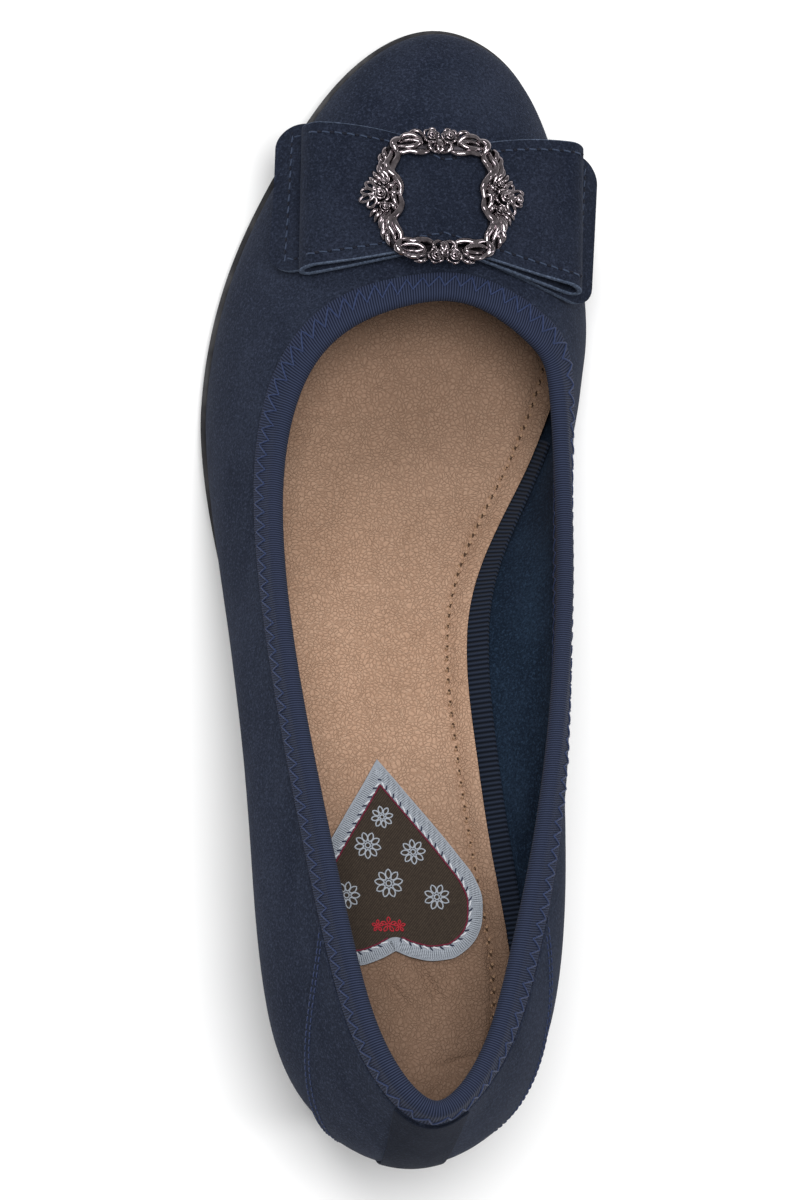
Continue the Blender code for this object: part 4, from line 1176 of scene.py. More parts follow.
def dress_sole():
    """Outsole, covered heel and lift."""
    sole = plate_shell(
        "rubber_outsole",
        Outline(lasting_edge(SOLE_MARGIN)),
        Outline(lasting_edge(SOLE_MARGIN - SOLE_EDGE_TAPER)),
        sole_underside,
        lambda y, s: bed_height(y),
        240,
        50,
    )
    round_edges(sole, 0.35 * MM)
    smooth(sole, 40)
    tread = rubber("sole_rubber", (0.014, 0.014, 0.017), (0.032, 0.031, 0.034), tread=True)
    finish(sole, [tread], ["outsole"])
    heel = fine_copy("heel", "covered_heel", 2)
    finish(heel, [navy()], ["heel"])
    lift = fine_copy("heel_lift", "rubber_lift", 2)
    plain = rubber("lift_rubber", (0.012, 0.012, 0.013), (0.030, 0.030, 0.032))
    finish(lift, [plain], ["heel_lift"])


def rim_path(inset, count=720):
    """A line round the insole at inset from its rim, seen from above, in the row frame."""
    outline = np.concatenate([INSOLE_RIM.outer, INSOLE_RIM.inner[::-1][1:-1]])
    closed = np.concatenate([outline, outline[:1]])
    gone = gone_along(closed)
    at = np.linspace(0, gone[-1], count, endpoint=False)
    line = np.stack([np.interp(at, gone, closed[:, k]) for k in range(2)], axis=1)
    return line + inward_of(line, 6) * inset - MIDDLE[:2]


def nearest(points):
    """A tree that finds the nearest of points, seen from above."""
    tree = kdtree.KDTree(len(points))
    for i, (x, y) in enumerate(points):
        tree.insert((x, y, 0), i)
    tree.balance()
    return tree


# Main creases of the sock: from and to, its half width and its depth, all in millimetres.
SOCK_CREASES = (
    (-9.5, -83, -4, -91, 1.0, 0.55),
    (-7.5, -83, -1.5, -91, 1.1, -0.40),
    (-2.0, -80, 4.0, -91, 1.0, 0.60),
    (0.0, -80, 6.0, -91, 1.1, -0.40),
    (2, -104, 12, -101, 0.9, 0.45),
    (-22, 46, -9, 44, 0.9, 0.40),
    (-23, 42.5, -12, 40, 0.9, 0.40),
    (-24, 38.5, -17, 35.5, 1.0, 0.35),
    (-20, 30, -4, 33, 1.2, 0.25),
    (-2, 20, 14, 24, 1.2, 0.22),
    (-16, 4, -2, -2, 1.2, 0.22),
    (-3, -34, 8, -40, 1.1, 0.25),
)


def dress_insole():
    """The padded leather sock: its stitched border, soft wrinkles and rolled edge."""
    piece = plate_shell(
        "leather_insole",
        INSOLE_RIM,
        INSOLE_FOOT,
        lambda y, s: bed_height(y) + CLEARANCE,
        insole_top,
        360,
        150,
    )
    points = points_of(piece)
    path = rim_path(INSOLE_STITCH_INSET)
    tree = nearest(path)
    away = np.array([tree.find((x, y, 0))[2] for x, y, _ in points])
    upper_side = points[:, 2] > bed_height(points[:, 1] + MIDDLE[1]) + 3 * MM
    dent = -0.90 * MM * np.exp(-((away / (0.9 * MM)) ** 2))
    pad = 0.40 * MM * np.exp(-(((away - 2.2 * MM) / (1.3 * MM)) ** 2))
    wrinkles = 0.30 * MM * smooth_noise(points * (1, 0.45, 1), 8 * MM, 3)
    wrinkles += 0.12 * MM * smooth_noise(points, 2.6 * MM, 5)
    for x0, y0, x1, y1, width, depth in SOCK_CREASES:
        start, step = np.array([x0, y0]) * MM, np.array([x1 - x0, y1 - y0]) * MM
        share = np.clip((points[:, :2] - start) @ step / (step @ step), 0, 1)
        off = np.linalg.norm(points[:, :2] - start - share[:, None] * step, axis=1)
        fade = np.sin(share * 2.6 + 0.27) * np.exp(-((off / (width * MM)) ** 2))
        wrinkles -= CREASE_DEPTH * depth * MM * fade
    points[:, 2] += (dent + pad + wrinkles - 0.35 * MM) * upper_side
    move_points(piece, points)
    round_edges(piece, 0.5 * MM)
    smooth(piece, 60)
    finish(piece, [insole_leather()], ["insole"])
    line, normals = on_surface(piece, path)
    tan = thread_finish("tan_thread", (0.200, 0.110, 0.060), (0.500, 0.325, 0.210))
    pitch = bpy.context.scene.pump_sizes.stitch_length
    rows = stitches(line, normals, pitch, share=0.74, lift=0.34 * MM, lean=0.36 * MM)
    sew("insole_stitches", rows, THREAD * 1.9, tan)
    # Painted shade: short dark strands between the stitches stand for the shade in the needle holes
    shade = thread_finish("needle_hole_shade_brown", (0.045, 0.025, 0.014), (0.085, 0.048, 0.028))
    hole_shades = stitches(line, normals, pitch, share=0.30, lift=0.10 * MM, shift=0.5)
    sew("insole_stitch_hole_shade", hole_shades, THREAD * 1.7, shade)


def dress_tape():
    """The grosgrain tape between insole and wall."""
    y = wall_middle(ROUND, 0 * ROUND)[:, 1]
    outer_end = ROUND[np.argmax(y > TAPE_END * LENGTH)]
    inner_end = ROUND[len(y) - 1 - np.argmax(y[::-1] > TAPE_END * LENGTH)] - 1

    def place(s, t):
        u = inner_end + (outer_end - inner_end) * s
        rim = rim_height(np.mod(u, 1))
        height = rim - TAPE_LAP + (TAPE_LAP + TAPE_SHOW) * t
        return wall_point(u, v_at(u, height, -(WALL + OVERLAY_GAP)), -(WALL + OVERLAY_GAP))

    piece = wrap_grid("grosgrain_tape", 420, 8, place)
    thicken(piece, TAPE_THICKNESS * OVERLAY_DRAWN)
    smooth(piece, 60)
    count = (outer_end - inner_end) * GIRTH / TAPE_PITCH
    grosgrain = ribbed("grosgrain", (0.003, 0.005, 0.010), (0.026, 0.036, 0.062), count, 0.9)
    finish(piece, [grosgrain], ["side_tape"])


def heart_edge(share):
    """Points of the heart's outline in the row frame, at shares round it."""
    x, y = heart_outline(count=400)
    x, y = turned(x * PATCH_WIDTH, y * PATCH_LENGTH, PATCH_TURN)
    x, y = x + PATCH_ACROSS * BALL_WIDTH - MIDDLE[0], y + PATCH_ALONG * LENGTH - MIDDLE[1]
    at = np.mod(share, 1.0) * len(x)
    period = np.arange(len(x) + 1)
    return np.stack([np.interp(at, period, np.append(c, c[0])) for c in (x, y)], axis=1)


def inset_lines(tree, inset, count=900):
    """The heart's outline moved inwards, cut where the moved line would cross itself."""
    line = heart_edge(np.linspace(0, 1, count, endpoint=False))
    moved = line + inward_of(line) * inset
    reach = np.array([tree.find((p[0], p[1], 0))[2] for p in moved])
    moved = moved[reach > inset * 0.97]
    breaks = np.where(np.linalg.norm(np.diff(moved, axis=0), axis=1) > 1.2 * MM)[0] + 1
    return [part for part in np.split(moved, breaks) if len(part) > 12]


def blossom(middle, radius, petals, turn):
    """Lines of an embroidered star flower: open petals round a small ring."""
    lines = []
    for k in range(petals):
        angle = turn + 2 * math.pi * k / petals
        reach = np.linspace(0.30, 1.0, 9)
        spread = 0.20 * np.sin(np.linspace(0, math.pi, 9)) ** 0.7
        out = np.array([math.cos(angle), math.sin(angle)])
        side = np.array([-out[1], out[0]])
        left = middle + radius * (reach[:, None] * out + spread[:, None] * side)
        right = middle + radius * (reach[:, None] * out - spread[:, None] * side)
        lines.append(np.concatenate([left, right[::-1]]))
    ring = np.linspace(0, 2 * math.pi, 13)
    lines.append(middle + radius * 0.2 * np.column_stack([np.cos(ring), np.sin(ring)]))
    return lines


Flower = namedtuple("Flower", "across along radius petals turn")
FLOWERS = (
    Flower(-0.025, 0.215, 2.4, 8, 0.20),
    Flower(-0.110, 0.075, 2.9, 9, 0.50),
    Flower(0.140, 0.045, 2.7, 8, 0.10),
    Flower(0.000, -0.110, 3.1, 9, 0.90),
    Flower(0.265, -0.175, 2.8, 8, 0.40),
    Flower(-0.235, -0.170, 2.9, 9, 0.70),
)


def dress_patch():
    """The cloth heart: border, red line, blanket stitches and embroidered star flowers."""
    middle = np.array([PATCH_ACROSS * BALL_WIDTH, PATCH_ALONG * LENGTH]) - MIDDLE[:2]

    def place(s, t):
        edge = heart_edge(s)
        xy = middle + (edge - middle) * t[:, None]
        z = insole_height(xy[:, 0] + MIDDLE[0], xy[:, 1] + MIDDLE[1]) + CLEARANCE + 0.15 * MM
        z += 0.10 * MM * np.sin(s * 75) * t**6
        return np.column_stack([xy, z]) + MIDDLE * (1, 1, 0)

    piece = wrap_grid("cloth_heart", 300, 36, place, closed=True)
    if np.mean([polygon.normal.z for polygon in piece.data.polygons]) < 0:
        in_edit_mode(piece, bpy.ops.mesh.flip_normals)
    thicken(piece, PATCH_THICKNESS * PATCH_DRAWN)
    edge = heart_edge(np.linspace(0, 1, 900, endpoint=False))
    tree = nearest(edge)
    distance = [tree.find((p[0], p[1], 0))[2] for p in points_of(piece)]
    piece.data.attributes.new("edge_distance", "FLOAT", "POINT").data.foreach_set("value", distance)
    smooth(piece, 60)
    finish(piece, [patch_cloth()], ["heel_patch"])

    white = thread_finish("white_thread", (0.50, 0.53, 0.58), (0.78, 0.79, 0.82))
    silver = thread_finish("silver_thread", (0.27, 0.30, 0.34), (0.43, 0.46, 0.51))
    grey = thread_finish("slate_thread", (0.010, 0.012, 0.030), (0.035, 0.040, 0.080))
    red = thread_finish("red_thread", (0.26, 0.010, 0.018), (0.48, 0.03, 0.045))
    wine = thread_finish("wine_thread", (0.085, 0.006, 0.020), (0.200, 0.018, 0.045))

    def rows(inset, share, lift, lean, shift=0.0):
        found = []
        for part in inset_lines(tree, inset):
            found += stitches(*on_surface(piece, part), PATCH_STITCH, share, lift, lean, shift)
        return found

    def drawn(lines, lift):
        found = [on_surface(piece, line, lift)[0] for line in lines]
        return [line for line in found if len(line) > 1]

    inner = rows(PATCH_BORDER - 0.25 * MM, 0.62, 0.16 * MM, 0.24 * MM)
    blanket = rows(PATCH_BORDER - 0.45 * MM, 0.30, 0.18 * MM, 0.40 * MM, shift=0.5)
    piping = drawn(inset_lines(tree, PATCH_BORDER + 0.25 * MM), 0.05 * MM)
    satin = []
    for part in inset_lines(tree, 1.35 * MM, count=1500):
        points, normals = on_surface(piece, part)
        along = np.gradient(points, axis=0)
        side = np.cross(along / np.linalg.norm(along, axis=1)[:, None], normals)
        gone = gone_along(points)
        for k in np.searchsorted(gone, np.arange(0, gone[-1], SATIN_PITCH)):
            across = np.array([-1.05, -0.8, 0.0, 0.8, 1.05])[:, None] * MM * side[k]
            up = np.array([-0.1, 0.12, 0.2, 0.12, -0.1])[:, None] * MM * normals[k]
            satin.append(points[k] + across + up)
    made = [
        sew("patch_inner_stitches", inner, THREAD * 1.15, white),
        sew("patch_red_line", piping, THREAD * 1.1, wine),
        sew("patch_blanket_stitches", blanket, THREAD * 1.05, grey),
        sew("patch_edge_stitches", satin, 0.20 * MM, silver),
    ]
    lines = []
    for row in FLOWERS:
        centre = middle + np.array([row.across * PATCH_WIDTH, row.along * PATCH_LENGTH])
        lines += blossom(centre, row.radius * MM, row.petals, row.turn)
    made.append(sew("patch_flowers", drawn(lines, 0.06 * MM), 0.17 * MM, silver))
    lines = []
    for across, size in ((-0.06, 1.3), (0.0, 1.7), (0.06, 1.3)):
        place_of = across * PATCH_WIDTH - 0.2 * MM, -0.335 * PATCH_LENGTH + size * 0.6 * MM
        lines += blossom(middle + np.array(place_of), size * MM, 5, 1.57)
    made.append(sew("patch_red_sprig", drawn(lines, 0.06 * MM), 0.17 * MM, red))


# Bow and buckle
TAILS_FRAME = vamp_frame(TAIL_TURN)
LOOPS_FRAME = TAILS_FRAME @ Matrix.Rotation(math.radians(BOW_TURN - TAIL_TURN), 4, "Z")


def in_frame(matrix, x, y, z):
    """Points of a local frame in the tables' frame."""
    turned = np.array(matrix.to_3x3())
    return np.column_stack([x, y, z]) @ turned.T + np.array(matrix.translation)


def bow_creases(x, y):
    """Soft folds that run out from under the buckle."""
    near = np.exp(-((np.abs(x) - 17 * MM) / (7 * MM)) ** 2)
    wide, narrow = np.cos(y / (5.2 * MM) * math.pi), np.cos(y / (2.9 * MM) * math.pi)
    return near * (0.22 * MM * wide - 0.12 * MM * narrow)


def tails_point(x, y, lift=0.0):
    """A point over the tails' underside."""
    x, y = np.asarray(x, float), np.asarray(y, float)
    z = bow_levels()[0] - TAIL_DROP * (x / (TAIL_LENGTH / 2)) ** 2 + lift
    end = np.clip((np.abs(x) / (TAIL_LENGTH / 2) - 0.8) / 0.2, 0, 1) ** 2
    z = z + 0.5 * MM * end * np.cos(y / (TAIL_END_HEIGHT / 2) * math.pi * 0.8)
    return in_frame(TAILS_FRAME, x + TAIL_SIDE, y + TAIL_UP, z)


def tail_half_height(x):
    """Half the tails' height, with round corners at the ends."""
    half = TAIL_LENGTH / 2
    tall = bow_height(x, half, BOW_MIDDLE_HEIGHT, TAIL_END_HEIGHT) / 2
    into = np.clip(np.abs(x) - (half - TAIL_CORNER), 0, TAIL_CORNER)
    return tall - (TAIL_CORNER - np.sqrt(TAIL_CORNER**2 - into**2))


def loops_across(x):
    """x of the loops, with the outer one's end drawn in."""
    return np.where(x < 0, x * (1 - LOOP_SHRINK), x)


def loop_path(count=400):
    """The loops' closed middle line: x and z, evenly spaced from the middle below."""
    half = BOW_LENGTH / 2
    _, low, high, _ = bow_levels()
    bend = (LOOP_GAP + LEATHER) / 2
    straight = half - bend - LEATHER / 2
    run = np.linspace(0, straight, 40)
    turn = np.linspace(-math.pi / 2, math.pi / 2, 24)
    x = np.concatenate([run, straight + bend * np.cos(turn), run[::-1]])
    z = np.concatenate([
        0 * run + low + LEATHER / 2,
        low + LEATHER / 2 + bend + bend * np.sin(turn),
        high + LEATHER / 2 + layer_opening(run[::-1]),
    ])
    x, z = np.concatenate([x, -x[::-1]]), np.concatenate([z, z[::-1]])
    z = z - BOW_DROP * (x / half) ** 2
    keep = np.append(True, np.hypot(np.diff(x), np.diff(z)) > 1e-7)
    x, z = x[keep], z[keep]
    gone = np.append(0, np.cumsum(np.hypot(np.diff(x), np.diff(z))))
    at = np.linspace(0, gone[-1], count)
    return np.interp(at, gone, x), np.interp(at, gone, z)


def loops_top(x, y, lift=0.0):
    """A point over the loops' upper face."""
    x, y = np.asarray(x, float), np.asarray(y, float)
    z = bow_levels()[3] + layer_opening(x) - BOW_DROP * (x / (BOW_LENGTH / 2)) ** 2
    return in_frame(LOOPS_FRAME, loops_across(x), y, z + bow_creases(x, y) + lift)


def dress_bow():
    """Tails and loops of suede with their cut edges, lighter partly in their own colour and partly by
    painted highlight, and stitched borders.
    """
    half = TAIL_LENGTH / 2
    # The cut edges are lighter partly in their own raw colour and partly by painted highlight where they
    # catch the light
    edge = suede("cut_suede_edge_and_highlight", (0.046, 0.062, 0.098), (0.082, 0.106, 0.155))

    def on_tails(s, t):
        x = half * np.sin((s - 0.5) * math.pi)
        return tails_point(x, (2 * t - 1) * tail_half_height(x))

    tails = wrap_grid("suede_tails", 150, 40, on_tails)
    empty_slots(tails, 2)
    thicken(tails, LEATHER, outward=True, rim_slot=1)
    round_edges(tails, EDGE_ROUND, slot=1)
    smooth(tails, 60)
    finish(tails, [navy("bow_suede", 0.84), edge], ["bow_tails"])

    path_x, path_z = loop_path()
    steps = np.linspace(0, 1, len(path_x))

    def on_loops(s, t):
        x, z = np.interp(s, steps, path_x), np.interp(s, steps, path_z)
        tall = bow_height(x, BOW_LENGTH / 2, BOW_MIDDLE_HEIGHT, BOW_END_HEIGHT) / 2
        y = (2 * t - 1) * tall
        above = np.clip((s - 0.28) / 0.04, 0, 1) * np.clip((0.72 - s) / 0.04, 0, 1)
        return in_frame(LOOPS_FRAME, loops_across(x), y, z + bow_creases(x, y) * above)

    loops = wrap_grid("suede_loops", 300, 36, on_loops, closed=True)
    empty_slots(loops, 2)
    wall = loops.modifiers.new("thickness", "SOLIDIFY")
    wall.thickness, wall.offset, wall.material_offset_rim = LEATHER, 0, 1
    apply_all(loops)
    round_edges(loops, EDGE_ROUND, slot=1)
    smooth(loops, 60)
    finish(loops, [navy("bow_suede", 0.84), edge], ["bow_loops"])

    up = np.array(LOOPS_FRAME.to_3x3())[:, 2]
    rows = []
    x = np.linspace(-BOW_LENGTH / 2 + 0.8 * MM, BOW_LENGTH / 2 - 0.8 * MM, 160)
    tall = bow_height(x, BOW_LENGTH / 2, BOW_MIDDLE_HEIGHT, BOW_END_HEIGHT) / 2
    rows += [loops_top(x, side * (tall - BOW_STITCH_INSET)) for side in (-1, 1)]
    inset = half - BOW_STITCH_INSET
    tall_here = float(tail_half_height(np.array([inset]))[0]) - 1.2 * MM
    y = np.linspace(-tall_here, tall_here, 60)
    rows += [tails_point(side * inset + 0 * y, y, LEATHER) for side in (-1, 1)]
    x = np.linspace(-inset, inset, 160)
    rows += [tails_point(x, side * (tail_half_height(x) - BOW_STITCH_INSET), LEATHER) for side in (-1, 1)]
    pitch = bpy.context.scene.pump_sizes.stitch_length
    threads, hole_shades = [], []
    for row in rows:
        ups = np.tile(up, (len(row), 1))
        threads += stitches(row - MIDDLE, ups, pitch, share=0.70, lift=0.24 * MM, lean=0.12 * MM)
        hole_shades += stitches(row - MIDDLE, ups, pitch, share=0.30, lift=0.12 * MM, shift=0.5)
    blue = thread_finish("bow_thread", (0.020, 0.030, 0.056), (0.048, 0.068, 0.118))
    sew("bow_stitches", threads, THREAD * 1.15, blue)
    # Painted shade: near-black strands between the stitches stand for the shade in the needle holes
    bow_hole_shade = thread_finish("hole_shade_blue_thread", (0.002, 0.003, 0.008), (0.005, 0.007, 0.018))
    sew("bow_stitch_hole_shade", hole_shades, THREAD * 1.7, bow_hole_shade)


def buckle_point(x, y, z):
    """Points z over the bow's upper face in the row frame."""
    x, y = turned(x, y, BUCKLE_TURN)
    x, y = x + BUCKLE_SIDE, y + BUCKLE_UP
    top = bow_levels()[3] + 2 * CLEARANCE + layer_opening(x)
    return in_frame(LOOPS_FRAME, x, y, z + top - BOW_DROP * (x / (BOW_LENGTH / 2)) ** 2) - MIDDLE


def ring_at(angle, share):
    """x and y on the buckle's ring: share 0 at the window, 1 at the outer edge."""
    window = np.array([rounded_box(WINDOW_WIDTH, WINDOW_HEIGHT, WINDOW_CORNER, a) for a in angle])
    edge = np.array([rounded_box(BUCKLE_WIDTH, BUCKLE_HEIGHT, BUCKLE_CORNER, a) for a in angle])
    return window + (edge - window) * np.asarray(share)[:, None]


def taper(count, thick, start=0.25, end=0.2):
    """Radii of a strand that swells from its start and thins to its end."""
    t = np.linspace(0, 1, count)
    body = np.sin(np.clip(t * 0.92 + 0.04, 0, 1) * math.pi) ** 0.6
    return thick * (body * 0.78 + start * (1 - t) * 0.6 + end * t * 0.4 + 0.05)


def rose(at, size, turn):
    """Strands of a small rose: a spiral bud in three curled petals and an outer round of five."""
    t = np.linspace(0, 1, 34)
    angle = turn + t * 2.3 * 2 * math.pi
    r = size * (0.10 + 0.55 * t)
    spiral = buckle_point(at[0] + r * np.cos(angle), at[1] + r * np.sin(angle), (3.0 - 1.0 * t) * MM)
    rows = [(spiral, size * 0.17 * (1 - 0.35 * t))]
    for k in range(5):
        a = turn + 2 * math.pi * k / 5 + np.linspace(-0.62, 0.62, 9)
        reach = size * (0.78 + 0.16 * np.cos(np.linspace(-1.5, 1.5, 9)))
        z = (1.55 + 0.25 * np.cos(np.linspace(-1.5, 1.5, 9))) * MM
        petal = buckle_point(at[0] + reach * np.cos(a), at[1] + reach * np.sin(a), z)
        rows.append((petal, taper(9, size * 0.19)))
    return rows


def finger_petals(at, outward, size, count, spread):
    """Strands of narrow looped petals that fan out from a blossom."""
    rows = []
    for k, lean in enumerate(np.linspace(-spread, spread, count)):
        a = outward + lean
        reach = size * (1.0 - 0.10 * (k % 2)) * (1 - 0.10 * abs(lean) / spread)
        out, side = np.array([math.cos(a), math.sin(a)]), np.array([-math.sin(a), math.cos(a)])
        t = np.linspace(0, 2 * math.pi, 15)
        along = size * 0.30 + (reach - size * 0.30) * (0.5 - 0.5 * np.cos(t))
        across = size * 0.165 * np.sin(t)
        xy = np.array(at) + along[:, None] * out + across[:, None] * side
        z = (2.1 - 0.9 * (0.5 - 0.5 * np.cos(t))) * MM
        rows.append((buckle_point(xy[:, 0], xy[:, 1], z), size * 0.085))
    return rows


# Leaf work of one quarter of the buckle, read from the photo: thickness and height of a strand's middle,
# then its points to the inner side and towards the toe from the buckle's middle, all in millimetres.
SIDE_LEAVES = (
    (
        0.85, 1.30, (9.6, -1.2), (9.3, 0.4), (9.1, 2.2), (9.9, 3.9), (11.1, 5.6), (10.4, 7.4),
        (9.5, 9.0), (9.7, 10.6), (10.6, 11.7),
    ),
    (0.70, 1.70, (10.6, 2.6), (10.3, 4.2), (11.7, 5.6), (12.1, 7.2), (11.2, 9.0), (10.7, 10.8)),
    (0.62, 1.50, (11.6, 3.0), (11.9, 4.4), (13.1, 5.9), (13.3, 7.6), (12.9, 9.2)),
    (0.56, 1.30, (12.3, 3.2), (12.8, 4.5), (13.7, 5.8), (13.9, 7.4)),
    (0.52, 1.15, (13.0, 3.0), (13.6, 3.9), (14.5, 4.8), (14.9, 5.9)),
    (0.50, 1.00, (13.6, 2.6), (14.4, 3.2), (15.3, 3.8), (15.8, 4.6)),
    (0.55, 1.20, (11.9, 6.2), (12.9, 7.6), (13.4, 9.0), (13.1, 10.0)),
    (0.58, 1.25, (11.7, 7.4), (12.2, 8.8), (12.4, 10.3), (11.9, 11.5)),
    (0.80, 1.20, (9.3, 9.6), (10.0, 11.0), (10.4, 12.2), (9.5, 13.1), (8.2, 13.4)),
)
ROW_LEAVES = (
    (
        0.66, 1.15, (10.2, 10.3), (8.6, 10.1), (6.8, 10.5), (5.0, 10.2), (3.4, 10.3), (2.2, 11.0),
        (1.6, 12.0),
    ),
    (
        0.52, 1.55, (9.9, 11.9), (8.6, 11.4), (7.0, 11.3), (5.4, 11.7), (4.6, 12.4), (5.8, 12.9),
        (7.4, 12.9), (8.8, 12.4),
    ),
    (0.52, 1.35, (9.2, 13.2), (7.8, 14.1), (6.2, 14.2), (4.9, 13.6), (4.1, 12.7), (3.9, 11.8)),
    (0.42, 1.25, (6.6, 15.0), (5.4, 15.2), (4.3, 14.8), (3.6, 14.0)),
    (0.46, 1.60, (0.4, 10.3), (1.5, 10.5), (2.4, 11.3), (2.2, 12.4), (1.2, 12.5), (0.9, 11.7)),
    (0.50, 1.30, (-0.6, 10.2), (0.4, 10.9), (0.5, 11.9), (-0.2, 12.8), (0.3, 13.6)),
)
NECK_LEAVES = (
    (0.62, 1.55, (9.4, -3.0), (10.5, -1.7), (10.9, 0.0), (10.5, 1.7), (9.4, 3.0)),
    (0.55, 1.70, (9.2, 0.2), (10.4, 0.5), (12.2, 0.4)),
    (0.50, 1.50, (10.2, 3.4), (11.2, 2.3), (12.4, 1.5)),
    (0.50, 1.50, (10.2, -3.4), (11.2, -2.3), (12.4, -1.5)),
)
LEAF_SWELL = 1.22
ROSE_ACROSS, ROSE_ALONG, ROSE_SIZE = 2.0 * MM, 14.0 * MM, 1.75 * MM
BLOSSOM_ACROSS = 13.9 * MM
BALL_RADIUS = 1.05 * MM


def leaves(rows, across, along):
    """Cast strands of one quarter, mirrored to it by the signs across and along."""
    made = []
    for thick, high, *places in rows:
        places = np.array(places) * MM
        step = gone_along(places)
        count = 6 * len(places)
        at = np.linspace(0, step[-1], count)
        x, y = (smooth_through(step, places[:, k], at) for k in (0, 1))
        bulge = np.sin(np.linspace(0.12, 0.92, count) * math.pi) ** 0.6
        line = buckle_point(across * x, along * y, high * MM * bulge)
        made.append((line, taper(count, thick * LEAF_SWELL * MM)))
    return made


def smooth_through(at, values, where):
    """A smooth curve through a few values."""
    slope = np.gradient(values, at)
    k = np.clip(np.searchsorted(at, where, side="right") - 1, 0, len(at) - 2)
    width = at[k + 1] - at[k]
    t = (where - at[k]) / width
    start = (1 + 2 * t) * (1 - t) ** 2 * values[k] + t * (1 - t) ** 2 * width * slope[k]
    return start + t * t * (3 - 2 * t) * values[k + 1] + t * t * (t - 1) * width * slope[k + 1]


def dress_buckle():
    """The ornamental frame: a low ring under leaf work, two pairs of roses and a blossom at each side."""
    def on_ring(s, t):
        xy = ring_at(s * 2 * math.pi, 0.06 + 0.72 * t)
        z = BUCKLE_THICKNESS * (0.05 + 0.22 * np.sin(np.clip(t, 0, 1) * math.pi) ** 0.6)
        return buckle_point(xy[:, 0], xy[:, 1], z) + MIDDLE

    ring = wrap_grid("buckle_ring", 260, 10, on_ring, closed=True)
    wall = ring.modifiers.new("thickness", "SOLIDIFY")
    wall.thickness, wall.offset = 0.3 * MM, -1
    apply_all(ring)
    smooth(ring, 60)
    # Painted shade: the low ring is near-black to stand for the shade in the gaps under the leaf work
    shaded = gunmetal("shaded_metal", (0.010, 0.009, 0.011), (0.030, 0.027, 0.031), 0.30)
    finish(ring, [shaded], ["buckle"])
    metal = gunmetal("gunmetal", (0.170, 0.146, 0.157), (0.330, 0.290, 0.305), 0.09)
    cast = []
    for along in (-1, 1):
        for across in (-1, 1):
            cast += leaves(SIDE_LEAVES, across, along) + leaves(ROW_LEAVES, across, along)
            cast += rose((across * ROSE_ACROSS, along * ROSE_ALONG), ROSE_SIZE, 0.9 * across + along)
    for across, count, spread in ((-1, 4, 0.85), (1, 4, 1.10)):
        cast += leaves(NECK_LEAVES, across, 1)
        at = (across * BLOSSOM_ACROSS, 0.0)
        outward = 0.0 if across > 0 else math.pi
        cast += finger_petals(at, outward, BLOSSOM_RADIUS * 1.03, count, spread)
        cast += rose(at, BLOSSOM_RADIUS * 0.50, 0.8)
        for along in (-1, 1):
            bud = across * (BLOSSOM_ACROSS - 1.1 * MM), along * 2.9 * MM
            cast += rose(bud, BLOSSOM_RADIUS * 0.26, along)
    finish(strands("buckle_relief", cast, 2), [metal])
    bpy.ops.object.select_all(action="DESELECT")
    bpy.ops.mesh.primitive_uv_sphere_add(segments=20, ring_count=12, radius=BALL_RADIUS)
    ball = bpy.context.object
    ball.name = ball.data.name = "buckle_ball"
    points = points_of(ball)
    x, y, z = (points + [BLOSSOM_ACROSS + 3.2 * MM, 0, 1.3 * MM]).T
    move_points(ball, buckle_point(x, y * 1.2, z))
    bpy.ops.object.shade_smooth()
    finish(ball, [metal])


# Stage
CAMERA_SIDE = 10.0  # degrees that the camera stands towards the outer side
CAMERA_BACK = 5.0  # and towards the heel
CAMERA_AWAY = 2.0
PIXELS_PER_METRE = 4600.0
IMAGE_HEIGHT = 1200
SENSOR = 36.0
CAMERA_TARGET = (-0.0035, -0.0019, 0.035)
WORLD_LIGHT = 0.34
# name, place, where it looks, size and power
LIGHTS = (
    ("overhead_softbox", (-0.25, 0.15, 2.7), (0, 0, 0.03), 1.3, 62.0),
    ("toe_light", (-0.9, 1.2, 1.5), (0, 0, 0.03), 0.5, 7.0),
    ("side_light", (1.4, -0.2, 1.3), (0, 0, 0.03), 0.5, 6.0),
)


def area_light(name, place, towards, size, power):
    """A soft studio light."""
    bpy.ops.object.select_all(action="DESELECT")
    bpy.ops.object.light_add(type="AREA", location=place)
    light = bpy.context.object
    light.name = name
    light.data.shape = "DISK"
    light.data.size = size
    light.data.energy = power
    light.rotation_euler = (Vector(towards) - Vector(place)).to_track_quat("-Z", "Y").to_euler()


